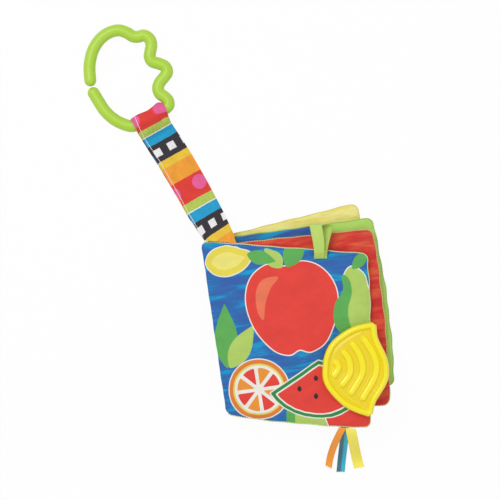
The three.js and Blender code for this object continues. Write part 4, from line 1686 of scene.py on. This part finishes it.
    def surface(self, at: Points, share: Points) -> Points:
        """Gives points on the strap's outer side, by length along the print, in its own frame."""
        path, printed, _ = self.path()
        middle = np.stack([np.interp(at, printed, path[:, k]) for k in (0, 1)], 1)
        near = np.stack([np.interp(at + 0.5, printed, path[:, k]) for k in (0, 1)], 1) - middle
        near /= np.linalg.norm(near, axis=1)[:, None]
        outer = middle + np.stack([-near[:, 1], near[:, 0]], 1) * self.cloth / 2
        return self.frame.read(self.place(outer[:, 0], outer[:, 1], share, np.zeros_like(at)))

    def topstitch(self) -> Points:
        """Gives the line of stitches along the strap's left edge, from the seam over the loop."""
        at = np.linspace(2.0, self.tack + 27.5, 200)
        places, shares = (2.0, 50.0, 80.0, 104.0, 126.0), (-0.465, -0.44, -0.415, -0.435, -0.37)
        share = np.interp(at, places, shares)
        return self.surface(at, share)

    def cross(self, at: float) -> Points:
        """Gives a line across the strap."""
        share = np.linspace(-0.46, 0.46, 40)
        return self.surface(np.full_like(share, at), share)


@dataclass(frozen=True)
class Link:
    """The plastic link: an open ring of round rod with three scalloped bumps."""

    rod: float = 9.8
    width: float = 61.0
    length: float = 76.0
    tilt_drop: float = 1.45
    shift: float = 0.7
    shares: tuple[tuple[float, float], ...] = (
        (-0.468, 0.656), (-0.415, 0.748), (-0.355, 0.825), (-0.228, 0.929), (-0.07, 0.991),
        (0.077, 1), (0.195, 0.969), (0.269, 0.905), (0.315, 0.84), (0.367, 0.812),
        (0.448, 0.792), (0.489, 0.729), (0.47, 0.663), (0.411, 0.604), (0.375, 0.564),
        (0.372, 0.508), (0.436, 0.451), (0.489, 0.389), (0.477, 0.329), (0.415, 0.3),
        (0.32, 0.269), (0.262, 0.223), (0.254, 0.16), (0.285, 0.11), (0.3, 0.06),
        (0.278, 0.014), (0.235, 0), (0, 0), (-0.235, 0), (-0.292, 0.014), (-0.365, 0.07),
        (-0.444, 0.165), (-0.497, 0.293), (-0.508, 0.41), (-0.512, 0.52),
    )

    def build(self) -> None:
        """Builds and dresses the link."""
        points = [(x * self.width, y * self.length) for x, y in self.shares]
        line = spaced(catmull(points, 12, False, 0.5), 0.75)
        radius = self.rod / 2
        start, end = unit(line[1] - line[0]), unit(line[-1] - line[-2])
        dome = np.radians(np.arange(10, 90, 10))
        before = [line[0] - start * radius * math.sin(t) for t in dome[::-1]]
        after = [line[-1] + end * radius * math.sin(t) for t in dome]
        line = np.concatenate([before, line, after])
        full = np.ones(len(line) - 2 * len(dome))
        shares = np.concatenate([np.cos(dome[::-1]), full, np.cos(dome)])
        tilt = -math.asin(self.tilt_drop / self.length)
        flat = np.stack(
            [line[:, 0] + self.shift, line[:, 1] * math.cos(tilt), line[:, 1] * math.sin(tilt)], 1
        )
        piece = Bench.tube("link_rod", [flat * MM], radius * MM, shares, roundness=10)
        Bench.put(piece, frame_at("link_swing"))
        Bench.merge(piece, 0.005 * MM)
        Bench.shade(piece)
        plastic = MouldedPlastic("link_plastic", "#B2D83E", "#8CBC26", 0.36, 0.0)
        hand_over(piece, "link", plastic.build(), ["link_ring"])


@dataclass(frozen=True)
class Teether:
    """The moulded leaf-shaped teether, and the twill tab that holds it."""

    width: float = 54.5
    length: float = 76.0
    floor: float = 4.3
    underside: float = 0.35
    rib_height: float = 1.9
    step: tuple[float, float] = (7.7, 0.95)
    rim: float = 5.3
    height: float = 7.0
    rib: float = 7.8
    rib_stretch: float = 1.2
    voxel: float = 0.42
    spacing: float = 0.7
    sunk: float = 0.15
    step_end: float = 0.57
    rib_tip: float = 0.55
    rib_run: float = 1.6
    tab: tuple[float, float, float] = (20.0, 14.0, 0.8)
    tab_divisions: tuple[int, int] = (24, 16)
    inset: float = 1.0
    round_side: tuple[tuple[float, float], ...] = (
        (0.71, 0.555), (0.48, 0.515), (0.32, 0.455), (0.17, 0.37), (0.075, 0.28), (0.02, 0.17),
        (0.004, 0.06), (0.01, -0.045), (0.05, -0.13), (0.12, -0.2), (0.22, -0.275),
        (0.35, -0.35), (0.52, -0.405), (0.71, -0.445),
    )
    wavy_side: tuple[tuple[float, float], ...] = (
        (0.77, -0.43), (0.785, -0.35), (0.81, -0.28), (0.87, -0.205), (0.935, -0.12),
        (0.98, -0.03), (0.985, 0.065), (0.965, 0.15), (0.915, 0.24), (0.85, 0.325),
        (0.8, 0.4), (0.785, 0.47), (0.775, 0.54),
    )
    ribs: tuple[tuple[tuple[float, float], ...], ...] = (
        ((0.17, 0.15), (0.24, 0.07), (0.15, -0.055)),
        ((0.275, 0.255), (0.385, 0.157), (0.41, 0.01), (0.27, -0.145)),
        ((0.4, 0.35), (0.555, 0.19), (0.595, 0.03), (0.41, -0.235)),
        ((0.57, 0.4), (0.755, 0.2), (0.795, 0.035), (0.585, -0.285)),
    )

    @property
    def frame(self) -> LocalFrame:
        """Gives the teether's frame, at its hinge."""
        joint = JOINTS["teether_flap"]
        y = -unit(joint["axis"])
        return frame_of(joint["pos_m"], np.cross(y, COVER_NORMAL), COVER_NORMAL)

    def outline(self, inset: float) -> Points:
        """Gives the outline, moved in by a distance, anticlockwise from the tip."""
        size = np.array([self.width, self.length])
        sides = (self.round_side, self.wavy_side)
        runs = [catmull(np.array(side) * size, 8, False) for side in sides]
        line = spaced(np.concatenate([*runs, runs[0][:1]]), self.spacing)[:-1]
        along = np.roll(line, -1, axis=0) - np.roll(line, 1, axis=0)
        along /= np.linalg.norm(along, axis=1)[:, None]
        line = line + inset * np.stack([-along[:, 1], along[:, 0]], 1)
        for _ in range(6):
            line = (np.roll(line, 1, axis=0) + 2 * line + np.roll(line, -1, axis=0)) / 4
        return line

    def one_rib(self, shares: Points) -> Piece:
        """Models one curved rib, thinner at its ends, from shares of the teether's size."""
        curve = catmull(shares * np.array([self.width, self.length]), 10, False, 0.5)
        path = spaced(curve, self.spacing)
        lead, trail = unit(path[0] - path[1]), unit(path[-1] - path[-2])
        path = np.vstack([path[0] + lead * self.rib_run, path, path[-1] + trail * self.rib_run])
        step = np.arange(len(path))
        thick = self.rib_tip + (1 - self.rib_tip) * smooth(np.minimum(step, step[::-1]) / 5)
        flat = np.column_stack([path, np.zeros(len(path))])
        rib = Bench.tube("rib", [flat * MM], self.rib / 2 * MM, thick, roundness=4)
        at = Bench.points(rib)
        at[:, 2] = at[:, 2] * self.rib_stretch + self.rib_height * MM
        Bench.move(rib, at)
        return rib

    def body(self) -> Piece:
        """Models the teether in one piece."""
        half = self.rim / 2
        line = self.outline(half)
        level = np.column_stack([line, np.zeros(len(line))])
        rim = Bench.tube("rim", [level * MM], half * MM, closed=True, roundness=4)
        at = Bench.points(rim)
        at[:, 2] = at[:, 2] * self.height / self.rim + self.height / 2 * MM
        Bench.move(rim, at)
        add = bpy.ops.mesh.primitive_circle_add
        floor = Bench.start("floor", add, vertices=len(line), radius=1, fill_type="NGON")
        Bench.move(floor, np.column_stack([line, np.full(len(line), self.underside)]) * MM)
        up = {"value": (0, 0, (self.floor - self.underside) * MM)}
        Bench.edit(floor, bpy.ops.mesh.extrude_region_move, TRANSFORM_OT_translate=up)
        Bench.edit(floor, bpy.ops.mesh.normals_make_consistent, inside=False)
        inset, radius = self.step
        inner = self.outline(inset)
        inner = inner[inner[:, 0] < self.step_end * self.width]
        within = np.column_stack([inner, np.full(len(inner), self.floor - self.sunk)])
        parts = [rim, floor, Bench.tube("step", [within * MM], radius * MM, roundness=4)]
        parts += [self.one_rib(np.array(shares)) for shares in self.ribs]
        made = Bench.join("teether_moulding", parts)
        Bench.apply(made, "REMESH", mode="VOXEL", voxel_size=self.voxel * MM)
        Bench.apply(made, "SMOOTH", factor=0.5, iterations=5)
        at = Bench.points(made) / MM
        # the height in millimetres, which the material reads to paint shade into the hollows
        Bench.write_value(made, "painted_shade_height", at[:, 2])
        Bench.move(made, self.frame.place(at))
        Bench.shade(made)
        return made

    def tab_piece(self) -> Piece:
        """Models the twill tab under the teether's round edge."""
        length, width, thickness = self.tab
        columns, rows = self.tab_divisions
        piece, i, j = Bench.grid("teether_twill_tab", columns, rows)
        u, v = i / columns, j / rows
        ease = np.minimum(1.0, np.minimum(u, 1 - u) * 10) ** 0.5
        x = u * length + self.inset
        y = (v - 0.5) * width * (0.93 + 0.07 * ease)
        z = -thickness / 2 - 0.3 + 0.05 * np.sin(x * 1.1) * np.cos(y * 0.9)
        Bench.move(piece, self.frame.place(np.stack([x, y, z], 1)))
        Bench.write_uv(piece, np.stack([y, x], 1), STRIP_UV_ORIGIN)
        Bench.thicken(piece, 0.75 * thickness, even=False)
        return piece

    def build(self) -> None:
        """Builds and dresses both."""
        # The teether's hollows get a painted shade, from 4.2 mm up to 6 mm.
        plastic = MouldedPlastic(
            "teether_plastic", "#FFF010", "#EFD40A", 0.2, 0.08, painted_shade_height=(4.2, 6.0)
        )
        hand_over(self.body(), "teether", plastic.build(), ["teether"])
        twill = SatinRibbon("tab_twill", "#F2D21C", "#D9B914", self.tab[1], rib=0.8)
        made = twill.build()
        piece = hand_over(self.tab_piece(), "front_cover", made, ["teether_tab"])


@dataclass(frozen=True)
class RibbonLoop:
    """The ribbon loop, flat where it is stitched down and turned on edge further out."""

    length: float = 27.5
    opening: float = 11.0
    bend: float = 1.6
    width: float = 9.9
    gathered: float = 0.82
    aside: float = 1.1
    lift: float = 0.5
    rise: float = 1.9
    drift: float = 0.9
    left_degrees: tuple[float, float] = (29.0, 80.0)
    right_degrees: tuple[float, float] = (29.0, 60.0)
    pinched: float = 2.5
    flat: float = 0.2
    ribbon: float = 0.6
    cloth: float = 0.45
    gap: float = 0.3
    stitched: float = 4.7
    stitches_at: float = 1.0
    stitches_height: float = 1.55
    stitches_drop: float = 0.9

    @property
    def frame(self) -> LocalFrame:
        """Gives the loop's frame, at its stitches."""
        return frame_at("ribbon_loop_flap", COVER_NORMAL)

    def place(self, x: Points, y: Points, share: Points) -> Points:
        """Puts points of the ribbon in the row frame."""
        opened = np.clip((y - self.pinched) / (self.length - self.bend - self.pinched), 0, 1)
        to_right = np.clip(x / self.opening + 0.5, 0, 1)
        ends = [a + (b - a) * to_right for a, b in zip(self.left_degrees, self.right_degrees)]
        turn, lean = (np.radians(90 + (end - 90) * opened) for end in ends)
        wide = self.width * share * (self.gathered + (1 - self.gathered) * smooth(y / 24))
        rise = self.lift + self.rise * smooth(y / self.length / self.flat)
        apart = self.aside * np.sign(x) * (1 - opened) + self.drift * opened
        made = np.stack([
            x * np.cos(turn) + wide * np.sin(lean) + apart,
            y,
            -x * np.sin(turn) + wide * np.cos(lean) + rise,
        ], 1)
        return self.frame.place(made)

    def build(self) -> None:
        """Builds and dresses the loop and its stitches."""
        pinch, half = (self.ribbon + self.gap) / 2, self.opening / 2
        straight = self.length - self.bend
        out = np.linspace(0.0, 1.0, 30, endpoint=False)
        strand = np.stack([pinch + (half - pinch) * out, straight * out], 1)
        angle = np.linspace(0.0, math.pi, 32)
        far = np.stack([half * np.cos(angle), straight + self.bend * np.sin(angle)], 1)
        path = np.concatenate([strand, far, strand[::-1] * np.array([-1.0, 1.0])])
        shares = np.linspace(0.5, -0.5, 13)
        piece = strip("ribbon_loop_band", path, shares, self.place, self.cloth, self.width)
        satin = SatinRibbon("green_ribbon", "#BFDC66", "#A2C050", self.width)
        hand_over(piece, "ribbon_loop", satin.build(), ["ribbon_loop"])
        across = np.linspace(-self.stitched, self.stitched, 40)
        height = self.stitches_height - self.stitches_drop * smooth((across - 2.6) / 0.8)
        line = np.stack([across, np.full_like(across, self.stitches_at), height], 1)
        row = Stitching(stitch=1.3, pitch=1.7, thread=0.4).row("loop_stitches", line, self.frame)
        thread = Thread("loop_thread", "#8DB546", "#5F8430")
        hand_over(row, "ribbon_loop", thread.build())


@dataclass(frozen=True)
class Tail:
    """One ribbon tail: how it leaves the seam and how it lies."""

    name: str
    width: float
    length: float
    layer: int
    turn_degrees: float
    bend: float
    offset: float
    color: str
    shade: str
    # colour of a painted shade over the ribbon's left half; empty for none
    folded: str = ""
    layer_height: float = 1.4
    fray: float = 0.5
    curl: float = 0.25
    rest_height: float = 0.45
    ribbon: float = 0.4
    nose: float = 1.5
    drape: float = 30.0
    cut: float = 0.985

    def build(self, here: LocalFrame, drop: float) -> None:
        """Builds and dresses the tail.

        Args:
            here: the frame at the tails' hinge.
            drop: the hinge's height over the table.
        """
        lift = self.layer * self.layer_height
        low = self.rest_height - drop
        turn = -math.radians(self.turn_degrees)
        ahead = np.array([math.cos(turn), math.sin(turn)])
        square = np.array([-ahead[1], ahead[0]])
        s = np.concatenate([[0.5 * self.layer - self.nose], np.linspace(0.0, self.length, 60)])
        z = lift + low * smooth(-ahead[1] * s / self.drape)
        z[0] = lift
        path = np.stack([s, z], 1)

        def place(along: Points, up: Points, share: Points) -> Points:
            """Puts a point of the ribbon in the row frame."""
            far = np.clip(along / self.length, 0, 1)
            wide = (self.width * share)[:, None]
            across = ((1 - far)[:, None] * np.array([1.0, 0.0]) + far[:, None] * square) * wide
            flat = along[:, None] * ahead + across + (self.bend * far * far)[:, None] * square
            frayed = self.fray * np.sin(share * 23 + self.offset) * (far > self.cut)
            curl = self.curl * (1 - np.cos(share * TAU)) * far
            flat = flat + frayed[:, None] * ahead
            return here.place(np.stack([flat[:, 0] + self.offset, flat[:, 1], up + curl], 1))

        shares = np.linspace(-0.5, 0.5, 11)
        piece = strip(f"{self.name}_tail", path, shares, place, self.ribbon, self.width)
        slot = self.name.replace("ribbon_", "") + "_ribbon"
        satin = SatinRibbon(slot, self.color, self.shade, self.width, self.folded)
        hand_over(piece, self.name, satin.build(), [self.name])


@dataclass(frozen=True)
class Tails:
    """The three ribbon tails in the front cover's bottom seam."""

    tails: tuple[Tail, ...] = (
        # The teal tail's last colour is the painted shade on its left half.
        Tail("ribbon_teal", 6.8, 37, 0, 86, -1.5, -1.0, "#35B8D2", "#2B9CB8", "#32586A"),
        Tail("ribbon_orange", 5.8, 34, 1, 111.4, 6.0, -3.3, "#FFA232", "#F08A20"),
        Tail("ribbon_yellow", 8.5, 34, 1, 73, 1, 3.9, "#FFF462", "#F8DC44"),
    )

    def build(self) -> None:
        """Builds the tails."""
        here = frame_at("ribbon_teal_flap", sign=-1.0)
        for tail in self.tails:
            tail.build(here, here.origin[2] / MM)


# The studio


@dataclass(frozen=True)
class Studio:
    """A pale table, soft light from the upper left, and the camera straight above."""

    centre: tuple[float, float] = (0.009315, -0.00124)
    distance: float = 1.6
    lens: float = 141.5
    world: float = 0.55
    key: float = 11.0
    fill: float = 3.0

    @staticmethod
    def seen(made: Recipe) -> Any:
        """Gives 1 on rays from the camera, or from gloss or glass that shows the background."""
        share = made.add("LightPath", out="Is Camera Ray")
        for ray in ("Is Glossy Ray", "Is Transmission Ray"):
            inputs = {0: share, 1: made.add("LightPath", out=ray)}
            share = made.add("Math", inputs, operation="MAXIMUM")
        return share

    def floor(self) -> None:
        """Lays the table top, white to the camera and pale in the object's shadow."""
        table = Bench.start("table_top", bpy.ops.mesh.primitive_plane_add, size=6)
        made = recipe("pale_table")
        matte = made.add("BsdfDiffuse", {"Color": "#F3F3F3"})
        glow = made.add("Emission", {"Color": "#FFFFFF", "Strength": 1.0})
        both = made.add("MixShader", {0: 0.95, 1: matte, 2: glow})
        shown = made.add("MixShader", {0: self.seen(made), 1: matte, 2: both})
        made.add("OutputMaterial", {0: shown})
        table.data.materials.append(made.of)

    def sky(self) -> None:
        """Sets the world: white where it is seen, softer where it lights."""
        bpy.context.scene.world = bpy.data.worlds.new("studio_world")
        made = Recipe(bpy.context.scene.world)
        soft, white = (
            made.add("Background", {"Color": "#FFFFFF", "Strength": power})
            for power in (self.world, 1.0)
        )
        shown = made.add("MixShader", {0: self.seen(made), 1: soft, 2: white})
        made.add("OutputWorld", {0: shown})

    def lamp(self, name: str, at: Sequence[float], size: float, power: float) -> None:
        """Hangs a square soft lamp that looks at the object."""
        lamp = Bench.start(name, bpy.ops.object.light_add, type="AREA", location=at)
        lamp.data.size = size
        lamp.data.energy = power
        lamp.rotation_euler = (Vector((0, 0, 0)) - Vector(at)).to_track_quat("-Z", "Y").to_euler()

    def camera(self) -> None:
        """Sets the camera straight above the table."""
        at = (*self.centre, self.distance)
        camera = Bench.start("photo_camera", bpy.ops.object.camera_add, location=at)
        camera.data.lens = self.lens
        camera.data.clip_start = 0.01
        bpy.context.scene.camera = camera

    def build(self) -> None:
        """Sets up the floor, the light and the camera."""
        self.floor()
        self.sky()
        self.lamp("key_lamp", (-0.55, 0.6, 1.4), 0.9, self.key)
        self.lamp("fill_lamp", (0.9, -0.6, 1.2), 1.2, self.fill)
        self.camera()
        bpy.context.scene.view_settings.view_transform = "Standard"


def leaves() -> list[Leaf]:
    """Lists the book's leaves, from the table up."""
    return [
        Leaf(
            name="back_cover",
            level=0,
            shape=LeafShape(0.894, 0.946, -0.087, -0.093, 0.01, 0.0),
            fronts=("yellow_page_print", "cover_cloth"),
            pictures=(meadow_picture(ORANGE, RED, PALE_GREEN), PLAIN),
            grounds=(("#ECDE74", "#F1E78A", "#F7EFA4"), ("#2F66AE", BLUE, "#3A80C4")),
            thread=("#EFE27A", "#CDB94A"),
        ),
        Leaf(
            name="page_two",
            level=1,
            shape=LeafShape(0.968, 0.957, 0.01, -0.03, 0.024, 0.0),
            fronts=("blue_page_print", "green_page_print"),
            pictures=(lake_picture(), meadow_picture(SUN, ORANGE, GREEN)),
            grounds=(("#34569E", "#3B5FA9", "#0F93C4"), ("#9CC650", PALE_GREEN, "#B9DB76")),
            thread=("#A9CF5C", "#7EA63C"),
        ),
        Leaf(
            name="page_one",
            level=2,
            shape=LeafShape(0.962, 0.914, 0.073, 0.079, 0.017, 0.0, 0.032),
            fronts=("red_page_print", "orange_page_print"),
            pictures=(
                blossom_picture("#E2703E", YELLOW, PALE_GREEN),
                blossom_picture(RED, CREAM, GREEN),
            ),
            grounds=(("#CC3430", "#DA4036", "#E0603E"), ("#D86F2C", ORANGE, "#EE9A50")),
            thread=("#DDD48C", "#A8783A"),
        ),
        Leaf(
            name="front_cover",
            level=3,
            shape=LeafShape(0.909, 0.779, 0.209, 0.189, 0.012, 0.012),
            fronts=("cover_print", "cover_lining"),
            pictures=(orchard_picture(), blossom_picture(ORANGE, RED, GREEN)),
            grounds=(("#3A63AE", BLUE, "#139FD2"), ("#DDD05A", YELLOW, "#ECE58A")),
            thread=("#E9EDC2", "#A9BB62"),
            divisions=72,
            top_rise=0.7,
            held_down=(("ribbon_loop_flap", 0.0, 7.0), ("teether_flap", 26.0, 34.0)),
        ),
    ]


def main() -> None:
    """Builds the book, piece by piece."""
    Studio().build()
    made = leaves()
    for leaf in made:
        leaf.build()
    CoverFold(made[-1]).build()
    Strap().build()
    Link().build()
    Teether().build()
    RibbonLoop().build()
    Tails().build()


if __name__ == "__main__":
    logging.basicConfig(level=logging.INFO, format="%(message)s")
    main()
